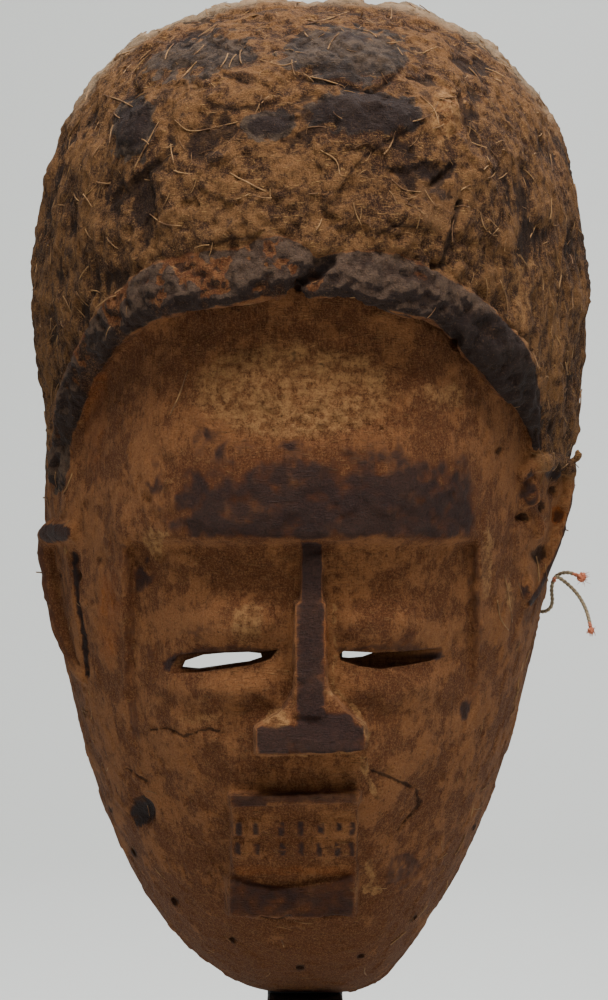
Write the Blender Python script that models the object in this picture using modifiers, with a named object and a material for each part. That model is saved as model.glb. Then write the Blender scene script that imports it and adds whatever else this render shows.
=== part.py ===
"""Carved wooden face mask with a domed cap of hair, upright on a black display stand.

The mask is one block of wood, hollow and open behind, with a band of small holes round its rim.
A remnant of two-ply twine is tied through a rim hole below one ear. All sizes are in metres.
X runs to the viewer's right, the face looks along -Y, and Z is up from the stand's underside.
"""

import math

import bmesh
import bpy
from mathutils import Vector

# Driving dimensions: the mask's outline at the plane of its rim
HALF_WIDTH = 0.1104
CROWN_RISE = 0.1271  # from the widest level up to the crown
JAW_DROP = 0.268  # from the widest level down to the chin
CROWN_POWER = 2.65  # 2 is an ellipse, more is squarer
LEFT_JAW_POWERS = (2.07, 2.33)  # at the widest level, and at the chin
RIGHT_JAW_POWERS = (1.54, 1.935)
JAW_TURN = 5.9  # how late the power changes on the way down to the chin
RIM_WIDTH = 0.014
# Where the outline swells or sinks: direction and half of the spread in degrees, and by what share
SUNK_TEMPLE = (201.1, 20.2, -0.0327)
CHIN_CORNERS = ((275.9, 5.9, 0.0185), (265.3, 4.7, 0.0040))

# Driving dimensions: the mask's depth in front of the rim
DOME_DEPTH = 0.128
SIDE_FLATNESS = 2.6
END_FLATNESS = 4.2
DOME_BELLY = 1.35
HOLLOW_DEPTH = 0.088

# Driving dimensions: the face, with heights measured up from the chin
HAIRLINE_HEIGHT = 0.214
HAIRLINE_RISE = 0.070
HAIRLINE_LEFT = 0.098
HAIRLINE_RIGHT = 0.090
HAIRLINE_THICKNESS = 0.0165
HAIRLINE_TAPER = 0.45  # how thick its ends are, as a share
HAIRLINE_OVERRUN = 3  # degrees that its ends run on down the temples
FACE_RECESS = 0.014
FACE_FADE = (0.78, 0.98)  # shares of the way out over which the face's relief dies away
BROW_HEIGHT = 0.182
BROW_STEP = 0.008
BROW_EASE = 0.003  # half of the height over which the brow steps back
FOREHEAD_SWELL = 0.005
FOREHEAD_FULL = 0.012  # above the brow, up to where the swell is at its full height
FOREHEAD_GONE = 0.080  # above the brow, from where it has gone
PANEL_LEFT = -0.068
PANEL_RIGHT = 0.0615
PANEL_EDGE = 0.004  # half of the width over which its side edges fall away
PANEL_FOOT = 0.100
PANEL_RISE = 0.050  # above its foot, up to where it is at its full depth
EYE_HEIGHT = 0.137
EYE_LENGTH = 0.042
LEFT_EYE_X = -0.034
RIGHT_EYE_X = 0.031
LEFT_SLIT = 0.0070
RIGHT_SLIT = 0.0045
RIGHT_SLIT_DEPTH = 0.009
RIGHT_PEEP_X = 0.0170
RIGHT_PEEP_WIDTH = 0.010
LID_SWELL = 0.006
LID_IN = 0.0055  # how much nearer the nose than its slit
LID_UP = 0.0135
LID_HALF_WIDTH = 0.024
LID_HALF_HEIGHT = 0.0145
LOWER_LID_SWELL = 0.003
LOWER_LID_DOWN = 0.009
LOWER_LID_HALF_WIDTH = 0.026
LOWER_LID_HALF_HEIGHT = 0.010
NOSE_BRIDGE_TOP = 0.0085
NOSE_BRIDGE_FOOT = 0.0125
NOSE_WIDTH = 0.039
NOSE_FOOT = 0.1046
NOSE_BAR = 0.011
NOSE_FLARE = 0.011
NOSE_TOP_PROUD = 0.004
NOSE_FOOT_PROUD = 0.021
NOSE_ROOT = 0.012  # how deep its sides run into the face
NOSE_DRAFT = 0.0015
MOUTH_X = -0.006
MOUTH_WIDTH = 0.049
MOUTH_TOP = 0.089
MOUTH_FOOT = 0.044
MOUTH_PROUD = 0.006
MOUTH_LEAN = 0.003  # how much further its foot stands out
MOUTH_ROOT = 0.004  # how deep its sides run into the face
MOUTH_DRAFT = 0.003
UPPER_LIP = 0.005
LOWER_LIP = 0.012
LIP_PROUD = 0.0025
LIP_SAG = 0.0025
LIP_OVERHANG = 0.0005  # of each lip past the block
TOOTH_COLUMNS = 7
TOOTH_WIDTH = 0.0045
TOOTH_HEIGHT = 0.0046
TOOTH_PROUD = 0.0014
TOOTH_MARGIN = 0.0007  # from the end tooth to the side of the mouth
UPPER_TEETH = 0.0742
LOWER_TEETH = 0.0668

# Driving dimensions: ears, rim holes and the knot in the wood
LEFT_EAR_TOP = 0.187
RIGHT_EAR_TOP = 0.211
EAR_HEIGHT = 0.060
EAR_WIDTH = 0.0225
EAR_RIM = 0.0095
EAR_INSET = 0.0048  # how far in from the outline an ear starts
EAR_STAND = 0.018  # of an ear's foot before the plane of the rim
EAR_LEAN = 0.008  # how much further its top stands
EAR_PROUD = 0.001
EAR_BED = 0.012
EAR_LUMP = 0.006
EAR_LUMP_DOWN = 0.025  # below the top of the ear
RIM_HOLE = 0.0032
RIM_HOLE_SHARE = 0.92  # how far out from the middle the holes are drilled
RIM_HOLE_ANGLES = (-112.3, -108.5, -103.2, -97.2, -90.9, -85.4, -80.0, -71.8, 125.6, 139.7)
KNOT_X = -0.064
KNOT_HEIGHT = 0.0786
KNOT_RADIUS = 0.0075
KNOT_DEPTH = 0.003

# Driving dimensions: the stand
CHIN_HEIGHT = 0.110  # of the chin above the stand's underside
RIM_Y = 0.035  # the plane of the mask's rim
BASE_WIDTH = 0.160
BASE_DEPTH = 0.150
BASE_THICKNESS = 0.018
BASE_EDGE = 0.002
POST_X = -0.002
POST_WIDTH = 0.030
POST_DEPTH = 0.020
POST_TOP = 0.262  # above the chin
LEDGE_REACH = 0.020
LEDGE_THICKNESS = 0.012
ARM_THICKNESS = 0.012
PAD_RADIUS = 0.015
PAD_THICKNESS = 0.008
PAD_CLEARANCE = 0.0015  # to the gouged wood, which isn't quite flat there
STAND_EDGE = 0.001

# Driving dimensions: the twine
TWINE = 0.0016
TWINE_KNOT = 0.0021

# Gap between pieces that touch, and how far a cutter runs past the surface it opens
GAP = 0.0003
CLEAR = 0.010

# How finely the carved surfaces are divided
FRONT_COLUMNS, FRONT_ROWS = 38, 58
HOLLOW_COLUMNS, HOLLOW_ROWS = 16, 26


def clear_scene():
    for thing in list(bpy.data.objects):
        bpy.data.objects.remove(thing, do_unlink=True)


def new_collection(name, helper=False):
    made = bpy.data.collections.new(name)
    bpy.context.scene.collection.children.link(made)
    made.hide_render = helper
    return made


def finish(name, colour, roughness, metallic=0.0):
    """A plain Principled material."""
    made = bpy.data.materials.new(name)
    made.use_nodes = True
    shader = made.node_tree.nodes["Principled BSDF"]
    shader.inputs["Base Color"].default_value = (*colour, 1.0)
    shader.inputs["Roughness"].default_value = roughness
    shader.inputs["Metallic"].default_value = metallic
    return made


def add_object(name, mesh, collection, material=None):
    """Places a finished bmesh in the scene as one object."""
    bmesh.ops.recalc_face_normals(mesh, faces=mesh.faces)
    data = bpy.data.meshes.new(name)
    mesh.to_mesh(data)
    mesh.free()
    made = bpy.data.objects.new(name, data)
    collection.objects.link(made)
    if material:
        data.materials.append(material)
    if collection.hide_render:
        made.hide_render = True
        made.display_type = "WIRE"
    return made


def combine(target, operand, operation):
    """Joins a helper to the target, or cuts it away."""
    modifier = target.modifiers.new(f"{operation.lower()} {operand.name}", "BOOLEAN")
    modifier.operation = operation
    modifier.object = operand


def ease(low, high, value):
    """0 below low, 1 above high, and a smooth rise between."""
    share = min(max((value - low) / (high - low), 0.0), 1.0)
    return share * share * (3 - 2 * share)


# The form of the mask: everything below is a function of x and of the height above the chin


def rim_reach(angle, inset=0.0):
    """Distance from the middle of the widest level to the outline, in one direction."""
    across, along = abs(math.cos(angle)), abs(math.sin(angle))
    end, power = CROWN_RISE, CROWN_POWER
    if math.sin(angle) < 0:
        at_side, at_chin = LEFT_JAW_POWERS if math.cos(angle) < 0 else RIGHT_JAW_POWERS
        end, power = JAW_DROP, at_side + (at_chin - at_side) * along**JAW_TURN
    grown = (across / (HALF_WIDTH - inset)) ** power + (along / (end - inset)) ** power
    swollen = 1.0
    for direction, spread, swell in (SUNK_TEMPLE, *CHIN_CORNERS):
        away = abs((math.degrees(angle) - direction + 180) % 360 - 180)
        swollen += swell * (1 - ease(0.0, spread, away))
    return swollen * grown ** (-1 / power)


def share_out(x, height, inset=0.0):
    """0 at the middle of the widest level and 1 at the outline, and the direction."""
    up = height - JAW_DROP
    angle = math.atan2(up, x)
    return min(math.hypot(x, up) / rim_reach(angle, inset), 1.0), angle


def dome(x, height, depth, inset=0.0):
    """A plain domed form over the outline: its depth in front of the rim."""
    share, angle = share_out(x, height, inset)
    flatness = SIDE_FLATNESS + (END_FLATNESS - SIDE_FLATNESS) * math.sin(angle) ** 2
    return depth * max(1 - share**flatness, 0.0) ** (1 / DOME_BELLY)


def bump(x, height, centre_x, centre_height, half_width, half_height):
    """1 at the middle of an oval and 0 at its edge."""
    far = math.hypot((x - centre_x) / half_width, (height - centre_height) / half_height)
    return 1 - ease(0.15, 1.0, far)


def inside_hairline(x, height):
    half = HAIRLINE_LEFT if x < 0 else HAIRLINE_RIGHT
    up = max(height - HAIRLINE_HEIGHT, 0.0) / HAIRLINE_RISE
    return 1 - ease(0.88, 1.02, math.hypot(x / half, up))


def brow_relief(x, height):
    """The swell of the forehead over the brow, and the panel of the face set back below it."""
    across = ease(PANEL_LEFT - PANEL_EDGE, PANEL_LEFT + PANEL_EDGE, x)
    across *= 1 - ease(PANEL_RIGHT - PANEL_EDGE, PANEL_RIGHT + PANEL_EDGE, x)
    above = ease(BROW_HEIGHT - BROW_EASE, BROW_HEIGHT + BROW_EASE, height)
    swell = above * (1 - ease(BROW_HEIGHT + FOREHEAD_FULL, BROW_HEIGHT + FOREHEAD_GONE, height))
    panel = (1 - above) * ease(PANEL_FOOT, PANEL_FOOT + PANEL_RISE, height)
    return across * (FOREHEAD_SWELL * swell - BROW_STEP * panel)


def eye_relief(x, height):
    """The domed upper lids, a little nearer the nose than the slits, and the swellings below."""
    relief = 0.0
    for eye_x in (LEFT_EYE_X, RIGHT_EYE_X):
        lid_x = eye_x - math.copysign(LID_IN, eye_x)
        high, low = EYE_HEIGHT + LID_UP, EYE_HEIGHT - LOWER_LID_DOWN
        upper = bump(x, height, lid_x, high, LID_HALF_WIDTH, LID_HALF_HEIGHT)
        lower = bump(x, height, eye_x, low, LOWER_LID_HALF_WIDTH, LOWER_LID_HALF_HEIGHT)
        relief += LID_SWELL * upper + LOWER_LID_SWELL * lower
    return relief


def face_depth(x, height):
    """How far the carved front stands before the rim, apart from what is raised on it."""
    share, _ = share_out(x, height)
    level = dome(x, height, DOME_DEPTH)
    inner = 1 - ease(*FACE_FADE, share)
    level -= FACE_RECESS * inside_hairline(x, height) * inner
    level += (brow_relief(x, height) + eye_relief(x, height)) * inner
    level -= KNOT_DEPTH * bump(x, height, KNOT_X, KNOT_HEIGHT, KNOT_RADIUS, KNOT_RADIUS)
    return max(level, 0.0)


def hollow_depth(x, height):
    return dome(x, height, HOLLOW_DEPTH, RIM_WIDTH)


def place(x, depth, height):
    """The point at that depth before the rim and that height above the chin."""
    return Vector((x, RIM_Y - depth, CHIN_HEIGHT + height))


def bent_grid(mesh, columns, rows, inset, depth_at):
    """A square grid bent to fill the outline, as rows of vertices at their depth."""
    lines = []
    for j in range(rows + 1):
        line = []
        for i in range(columns + 1):
            u, v = 2 * i / columns - 1, 2 * j / rows - 1
            across, along = u * math.sqrt(1 - v * v / 2), v * math.sqrt(1 - u * u / 2)
            share = min(math.hypot(across, along), 1.0)
            share *= 1 + 0.3 * (1 - share)  # rows lie closer towards the rim
            end = CROWN_RISE if along >= 0 else JAW_DROP
            angle = math.atan2(along * end, across * HALF_WIDTH)
            reach = share * rim_reach(angle, inset)
            x, height = reach * math.cos(angle), JAW_DROP + reach * math.sin(angle)
            line.append(mesh.verts.new(place(x, depth_at(x, height), height)))
        lines.append(line)
    for low, high in zip(lines, lines[1:]):
        for i in range(columns):
            mesh.faces.new((low[i], low[i + 1], high[i + 1], high[i]))
    return lines


def border(lines):
    """The grid's outer vertices, once round."""
    left, right = [line[0] for line in lines], [line[-1] for line in lines]
    return lines[0][:-1] + right[:-1] + lines[-1][:0:-1] + left[:0:-1]


def mask_block(collection, material):
    """The carved front on a flat back."""
    mesh = bmesh.new()
    ring = border(bent_grid(mesh, FRONT_COLUMNS, FRONT_ROWS, 0.0, face_depth))
    mesh.faces.new(ring)
    return add_object("mask", mesh, collection, material)


def hollow_cutter(collection):
    """The bowl that a gouge leaves, drawn out past the plane of the rim."""
    mesh = bmesh.new()
    ring = border(bent_grid(mesh, HOLLOW_COLUMNS, HOLLOW_ROWS, RIM_WIDTH, hollow_depth))
    behind = [mesh.verts.new(v.co + Vector((0, CLEAR, 0))) for v in ring]
    for i, low in enumerate(ring):
        j = (i + 1) % len(ring)
        mesh.faces.new((low, ring[j], behind[j], behind[i]))
    mesh.faces.new(behind)
    return add_object("hollow_cutter", mesh, collection)


def slab(name, outline, front, back, draft, collection):
    """A raised shape: its outline as seen from the front, drawn back into the wood.

    front and back give the depth at a height, and draft widens the back.
    """
    mesh = bmesh.new()
    middle_x = sum(x for x, _ in outline) / len(outline)
    middle_height = sum(height for _, height in outline) / len(outline)
    near, far = [], []
    for x, height in outline:
        away = Vector((x - middle_x, height - middle_height)).normalized() * draft
        near.append(mesh.verts.new(place(x, front(height), height)))
        far.append(mesh.verts.new(place(x + away.x, back(height), height + away.y)))
    for i, corner in enumerate(near):
        j = (i + 1) % len(near)
        mesh.faces.new((corner, near[j], far[j], far[i]))
    mesh.faces.new(near)
    mesh.faces.new(far[::-1])
    return add_object(name, mesh, collection)


def along_slope(height_a, depth_a, height_b, depth_b):
    """A straight slope through two points of the profile, as a function of height."""
    return lambda height: depth_a + (depth_b - depth_a) * (height - height_a) / (height_b - height_a)


def nose(collection):
    """A narrow bridge from the brow, flaring to a broad blunt foot, in the shape of a T."""
    half, foot = NOSE_WIDTH / 2, NOSE_FOOT
    wings = foot + NOSE_BAR + NOSE_FLARE
    outline = [
        (-half, foot),
        (half, foot),
        (half, foot + NOSE_BAR),
        (NOSE_BRIDGE_FOOT / 2, wings),
        (NOSE_BRIDGE_TOP / 2, BROW_HEIGHT),
        (-NOSE_BRIDGE_TOP / 2, BROW_HEIGHT),
        (-NOSE_BRIDGE_FOOT / 2, wings),
        (-half, foot + NOSE_BAR),
    ]
    top = face_depth(0, BROW_HEIGHT - 2 * BROW_EASE) + NOSE_TOP_PROUD
    bottom = face_depth(0, foot) + NOSE_FOOT_PROUD
    front = along_slope(BROW_HEIGHT, top, foot, bottom)
    back = along_slope(BROW_HEIGHT, top - NOSE_ROOT, foot, face_depth(half, foot) - NOSE_ROOT / 2)
    return slab("nose", outline, front, back, NOSE_DRAFT, collection)


def mouth_front(proud):
    """The slope of the mouth block's front, raised by proud."""
    top = face_depth(MOUTH_X, MOUTH_TOP) + MOUTH_PROUD
    foot = face_depth(MOUTH_X, MOUTH_FOOT) + MOUTH_PROUD + MOUTH_LEAN
    return along_slope(MOUTH_TOP, top + proud, MOUTH_FOOT, foot + proud)


def mouth(collection):
    """The block of the mouth with its two lips."""
    left, right = MOUTH_X - MOUTH_WIDTH / 2, MOUTH_X + MOUTH_WIDTH / 2
    back = along_slope(
        MOUTH_TOP,
        face_depth(left, MOUTH_TOP) - MOUTH_ROOT,
        MOUTH_FOOT,
        face_depth(left, MOUTH_FOOT) - MOUTH_ROOT,
    )

    def bar(name, low, high, sag, proud, inset=0.0):
        """One band across the mouth, its upper edge sagging in the middle."""
        start, end = right - inset, left + inset
        outline = [(end, low), (start, low)]
        for step in range(7):
            share = step / 6
            outline.append((start + share * (end - start), high - sag * math.sin(math.pi * share)))
        return slab(name, outline, mouth_front(proud), back, MOUTH_DRAFT, collection)

    inside_foot, inside_top = MOUTH_FOOT + LOWER_LIP / 4, MOUTH_TOP - UPPER_LIP / 3
    return [
        bar("mouth_block", inside_foot, inside_top, 0.0, 0.0, LIP_OVERHANG),
        bar("upper_lip", MOUTH_TOP - UPPER_LIP, MOUTH_TOP, 0.0, LIP_PROUD),
        bar("lower_lip", MOUTH_FOOT, MOUTH_FOOT + LOWER_LIP, LIP_SAG, LIP_PROUD),
    ]


def teeth(collection):
    """Two rows of small square blocks between the lips."""
    mesh = bmesh.new()
    front = mouth_front(TOOTH_PROUD)
    pitch = (MOUTH_WIDTH - 2 * TOOTH_MARGIN - TOOTH_WIDTH) / (TOOTH_COLUMNS - 1)
    for height in (UPPER_TEETH, LOWER_TEETH):
        for column in range(TOOTH_COLUMNS):
            x = MOUTH_X + (column - (TOOTH_COLUMNS - 1) / 2) * pitch
            made = bmesh.ops.create_cube(mesh, size=1.0)["verts"]
            bmesh.ops.scale(mesh, verts=made, vec=(TOOTH_WIDTH, 3 * TOOTH_PROUD, TOOTH_HEIGHT))
            middle = place(x, front(height) - 1.5 * TOOTH_PROUD, height)
            bmesh.ops.translate(mesh, verts=made, vec=middle)
    return add_object("teeth", mesh, collection)


def round_bar(name, points, radius, collection, widths=None):
    """A round bar along the points, closed at both ends, as a curve object."""
    curve = bpy.data.curves.new(name, "CURVE")
    curve.dimensions = "3D"
    curve.bevel_depth = radius
    curve.bevel_resolution = 2
    curve.use_fill_caps = True
    spline = curve.splines.new("POLY")
    spline.points.add(len(points) - 1)
    for i, (point, target) in enumerate(zip(spline.points, points)):
        point.co = (*target, 1)
        point.radius = widths[i] if widths else 1.0
    made = bpy.data.objects.new(name, curve)
    collection.objects.link(made)
    return made


def bar_mesh(name, points, radius, collection, widths=None):
    """The same bar as a mesh with its seams welded, for a Boolean."""
    guide = round_bar(name, points, radius, collection, widths)
    data = bpy.data.meshes.new_from_object(guide.evaluated_get(bpy.context.evaluated_depsgraph_get()))
    bpy.data.objects.remove(guide)
    mesh = bmesh.new()
    mesh.from_mesh(data)
    bmesh.ops.remove_doubles(mesh, verts=mesh.verts, dist=0.00001)
    return mesh


def hairline(collection):
    """The thick arched roll between cap and forehead, standing proud of both."""
    points, widths = [], []
    steps = 30
    for step in range(steps + 1):
        turn = math.radians(-HAIRLINE_OVERRUN + (180 + 2 * HAIRLINE_OVERRUN) * step / steps)
        half = HAIRLINE_LEFT if math.cos(turn) < 0 else HAIRLINE_RIGHT
        drop = 1.8 if math.sin(turn) < 0 else 1.0  # the ends run on straighter down the temples
        x, height = half * math.cos(turn), HAIRLINE_HEIGHT + drop * HAIRLINE_RISE * math.sin(turn)
        points.append(place(x, dome(x, height, DOME_DEPTH), height))
        from_end = 2 * min(step, steps - step) / steps
        widths.append(HAIRLINE_TAPER + (1 - HAIRLINE_TAPER) * ease(0.0, 0.30, from_end))
    mesh = bar_mesh("hairline", points, HAIRLINE_THICKNESS / 2, collection, widths)
    return add_object("hairline", mesh, collection)


def outline_x(height, side):
    """Where the outline crosses a height, left for side -1 and right for side 1."""
    low, high = 0.0, HALF_WIDTH
    for _ in range(24):
        middle = (low + high) / 2
        if share_out(side * middle, height)[0] < 1:
            low = middle
        else:
            high = middle
    return side * low


def ear_path(side, top):
    """Down the raised rim of an ear: in from the cheek, out round the top, and in at the foot."""
    path = [(1.0, 0.04), (0.70, 0.0), (0.40, 0.0), (0.12, 0.02), (-0.08, 0.10), (-0.12, 0.30)]
    path += [(-0.10, 0.50), (-0.02, 0.70), (0.14, 0.86), (0.34, 0.97), (0.52, 1.0)]
    points = []
    for inward, down in path:
        height = top - EAR_RIM / 2 - down * (EAR_HEIGHT - EAR_RIM)
        edge = outline_x(height, side)
        x = edge - side * (EAR_INSET + inward * EAR_WIDTH)
        wood = face_depth(x, height) if abs(x) < abs(edge) else 0.0
        stand = max(wood, EAR_STAND + EAR_LEAN * (1 - down)) + EAR_PROUD
        points.append(place(x, stand, height))
    return points


def ear(name, side, top, collection):
    """The raised C of an ear."""
    points = ear_path(side, top)
    return add_object(name, bar_mesh(name, points, EAR_RIM / 2, collection), collection)


def ear_bed(name, side, top, collection):
    """The wood that an ear's rim stands on: a slab from the plane of the C into the head."""
    mesh = bmesh.new()
    inward = Vector((-side, 1.0, 0.0)).normalized() * EAR_BED
    for point in ear_path(side, top):
        mesh.verts.new(point + inward * 0.15)
        mesh.verts.new(point + inward)
    hull = bmesh.ops.convex_hull(mesh, input=mesh.verts)
    loose = {v for v in hull["geom_interior"] if isinstance(v, bmesh.types.BMVert)}
    bmesh.ops.delete(mesh, geom=list(loose), context="VERTS")
    return add_object(name, mesh, collection)


def ear_lump(name, side, top, collection):
    """The small lump before the ear's opening."""
    height = top - EAR_LUMP_DOWN
    x = outline_x(height, side) - side * 0.75 * EAR_WIDTH
    mesh = bmesh.new()
    bmesh.ops.create_icosphere(mesh, subdivisions=2, radius=EAR_LUMP)
    bmesh.ops.translate(mesh, verts=mesh.verts, vec=place(x, face_depth(x, height), height))
    return add_object(name, mesh, collection)


def slit_cutter(name, middle_x, length, opening, near, far, collection):
    """A pointed oval drawn straight back between two depths."""
    outline = []
    for step in range(16):
        turn = 2 * math.pi * step / 16
        rise = opening / 2 * math.copysign(abs(math.sin(turn)) ** 1.2, math.sin(turn))
        outline.append((middle_x + length / 2 * math.cos(turn), EYE_HEIGHT + rise))
    return slab(name, outline, lambda _: near, lambda _: far, 0.0, collection)


def rim_hole_cutter(collection):
    """Drills through the rim band, square to the slope of the wood there."""
    mesh = bmesh.new()
    for degrees in RIM_HOLE_ANGLES:
        angle = math.radians(degrees)
        reach = RIM_HOLE_SHARE * rim_reach(angle)
        x, height = reach * math.cos(angle), JAW_DROP + reach * math.sin(angle)
        inward = Vector((-math.cos(angle), 1.0, -math.sin(angle))).normalized()
        entry = place(x, face_depth(x, height), height)
        made = bmesh.ops.create_cone(
            mesh,
            cap_ends=True,
            segments=8,
            radius1=RIM_HOLE / 2,
            radius2=RIM_HOLE / 2,
            depth=3 * RIM_WIDTH,
        )["verts"]
        bmesh.ops.rotate(mesh, verts=made, matrix=inward.to_track_quat("Z", "Y").to_matrix())
        bmesh.ops.translate(mesh, verts=made, vec=entry + inward * RIM_WIDTH)
    return add_object("rim_hole_cutter", mesh, collection)


def make_mask(parts, helpers, wood):
    mask = mask_block(parts, wood)
    combine(mask, hollow_cutter(helpers), "DIFFERENCE")
    raised = [hairline(helpers), nose(helpers), *mouth(helpers), teeth(helpers)]
    for side_name, side, top in (("left", -1, LEFT_EAR_TOP), ("right", 1, RIGHT_EAR_TOP)):
        raised.append(ear_bed(f"{side_name}_ear_bed", side, top, helpers))
        raised.append(ear(f"{side_name}_ear", side, top, helpers))
        raised.append(ear_lump(f"{side_name}_ear_lump", side, top, helpers))
    for form in raised:
        combine(mask, form, "UNION")
    near, far = DOME_DEPTH + CLEAR, HOLLOW_DEPTH / 3
    left = slit_cutter("left_eye", LEFT_EYE_X, EYE_LENGTH, LEFT_SLIT, near, far, helpers)
    floor = face_depth(RIGHT_EYE_X, EYE_HEIGHT) - RIGHT_SLIT_DEPTH
    right = slit_cutter("right_eye", RIGHT_EYE_X, EYE_LENGTH, RIGHT_SLIT, near, floor, helpers)
    peep_opening = 0.92 * RIGHT_SLIT  # inside the groove, so that the two cuts share no face
    peep = slit_cutter(
        "right_peep", RIGHT_PEEP_X, RIGHT_PEEP_WIDTH, peep_opening, near + CLEAR / 5, far, helpers
    )
    for cutter in (left, peep, right, rim_hole_cutter(helpers)):
        combine(mask, cutter, "DIFFERENCE")
    return mask


def box(name, low, high, edge, collection, material):
    """A box between two corners with its edges eased."""
    mesh = bmesh.new()
    bmesh.ops.create_cube(mesh, size=1.0)
    low, high = Vector(low), Vector(high)
    bmesh.ops.scale(mesh, verts=mesh.verts, vec=high - low)
    bmesh.ops.translate(mesh, verts=mesh.verts, vec=(low + high) / 2)
    made = add_object(name, mesh, collection, material)
    bevel = made.modifiers.new("eased edges", "BEVEL")
    bevel.width = edge
    bevel.segments = 2
    return made


def make_stand(parts, paint, felt):
    """Foot plate, upright, a ledge under the chin, and an arm with a pad inside the cap."""
    half_width, half_depth = BASE_WIDTH / 2, BASE_DEPTH / 2
    box(
        "stand_base",
        (-half_width, -half_depth, 0),
        (half_width, half_depth, BASE_THICKNESS),
        BASE_EDGE,
        parts,
        paint,
    )
    left, right = POST_X - POST_WIDTH / 2, POST_X + POST_WIDTH / 2
    post_front = RIM_Y + GAP
    box(
        "stand_post",
        (left, post_front, BASE_THICKNESS + GAP),
        (right, post_front + POST_DEPTH, CHIN_HEIGHT + POST_TOP),
        STAND_EDGE,
        parts,
        paint,
    )
    ledge_top = CHIN_HEIGHT - GAP
    box(
        "stand_ledge",
        (left, RIM_Y - LEDGE_REACH, ledge_top - LEDGE_THICKNESS),
        (right, RIM_Y, ledge_top),
        STAND_EDGE,
        parts,
        paint,
    )
    arm_middle = POST_TOP - ARM_THICKNESS
    wood_behind = hollow_depth(POST_X, arm_middle)
    pad_back = RIM_Y - wood_behind + PAD_CLEARANCE + PAD_THICKNESS
    low = CHIN_HEIGHT + arm_middle - ARM_THICKNESS / 2
    box(
        "stand_arm",
        (POST_X - ARM_THICKNESS / 2, pad_back + GAP, low),
        (POST_X + ARM_THICKNESS / 2, RIM_Y, low + ARM_THICKNESS),
        STAND_EDGE,
        parts,
        paint,
    )
    mesh = bmesh.new()
    bmesh.ops.create_cone(
        mesh, cap_ends=True, segments=24, radius1=PAD_RADIUS, radius2=PAD_RADIUS, depth=PAD_THICKNESS
    )
    quarter = Vector((0, -1, 0)).to_track_quat("Z", "Y").to_matrix()
    bmesh.ops.rotate(mesh, verts=mesh.verts, matrix=quarter)
    middle = Vector((POST_X, pad_back - PAD_THICKNESS / 2, low + ARM_THICKNESS / 2))
    bmesh.ops.translate(mesh, verts=mesh.verts, vec=middle)
    pad = add_object("stand_pad", mesh, parts, felt)
    bevel = pad.modifiers.new("soft edge", "BEVEL")
    bevel.width = STAND_EDGE
    bevel.segments = 2
    bevel.limit_method = "ANGLE"


# The twine's routes, chosen by hand, as x, depth before the rim, and height above the chin
LOOP_ROUTE = (
    (0.0850, -0.0012, 0.1532),
    (0.0885, -0.0013, 0.1526),
    (0.0915, -0.0011, 0.1522),
    (0.0936, 0.0002, 0.1522),
    (0.0949, 0.0022, 0.1528),
    (0.0961, 0.0036, 0.1542),
    (0.0966, 0.0046, 0.1565),
    (0.0964, 0.0052, 0.1592),
    (0.0963, 0.0056, 0.1617),
    (0.0967, 0.0062, 0.1641),
    (0.0976, 0.0072, 0.1661),
    (0.0991, 0.0082, 0.1673),
    (0.1010, 0.0090, 0.1679),
    (0.1031, 0.0096, 0.1679),
    (0.1050, 0.0100, 0.1673),
    (0.1063, 0.0102, 0.1668),
)
TAIL_ROUTE = (
    (0.0966, 0.0144, 0.1648),
    (0.0969, 0.0124, 0.1658),
    (0.0979, 0.0107, 0.1663),
    (0.0996, 0.0098, 0.1655),
    (0.1021, 0.0097, 0.1636),
    (0.1047, 0.0102, 0.1611),
    (0.1069, 0.0113, 0.1582),
    (0.1086, 0.0130, 0.1550),
    (0.1097, 0.0150, 0.1518),
    (0.1103, 0.0172, 0.1489),
    (0.1106, 0.0194, 0.1466),
)


def smooth_route(route, steps):
    """Points read along the smooth curve through a route."""
    points = [place(*point) for point in route]
    points = [2 * points[0] - points[1], *points, 2 * points[-1] - points[-2]]
    smooth = []
    for a, b, c, d in zip(points, points[1:], points[2:], points[3:]):
        for step in range(steps):
            t = step / steps
            bend = (2 * a - 5 * b + 4 * c - d) * t**2 + (3 * b - a - 3 * c + d) * t**3
            smooth.append(b + ((c - a) * t + bend) / 2)
    return [*smooth, points[-2]]


def make_twine(parts, fibre):
    """Two tails of twine, each ending in a frayed knot."""
    ends = []
    for name, route in (("twine_loop", LOOP_ROUTE), ("twine_tail", TAIL_ROUTE)):
        points = smooth_route(route, 2)
        made = round_bar(name, points, TWINE / 2, parts)
        made.data.materials.append(fibre)
        ends.append(points[-1] + (points[-1] - points[-2]).normalized() * (TWINE_KNOT + GAP))
    for name, middle in (("twine_loop_knot", ends[0]), ("twine_tail_knot", ends[1])):
        mesh = bmesh.new()
        bmesh.ops.create_icosphere(mesh, subdivisions=2, radius=TWINE_KNOT)
        bmesh.ops.translate(mesh, verts=mesh.verts, vec=middle)
        add_object(name, mesh, parts, fibre)


def main():
    clear_scene()
    parts = new_collection("carved_mask")
    helpers = new_collection("cutters", helper=True)
    wood = finish("crusted_wood", (0.105, 0.052, 0.022), 0.85)
    paint = finish("black_stand", (0.012, 0.012, 0.013), 0.5)
    felt = finish("black_felt", (0.015, 0.015, 0.016), 0.95)
    fibre = finish("twine", (0.32, 0.17, 0.09), 0.9)
    make_mask(parts, helpers, wood)
    make_stand(parts, paint, felt)
    make_twine(parts, fibre)


main()
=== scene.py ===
import math

import bmesh
import bpy
import numpy as np
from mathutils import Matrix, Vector, noise
from mathutils.bvhtree import BVHTree


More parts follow.
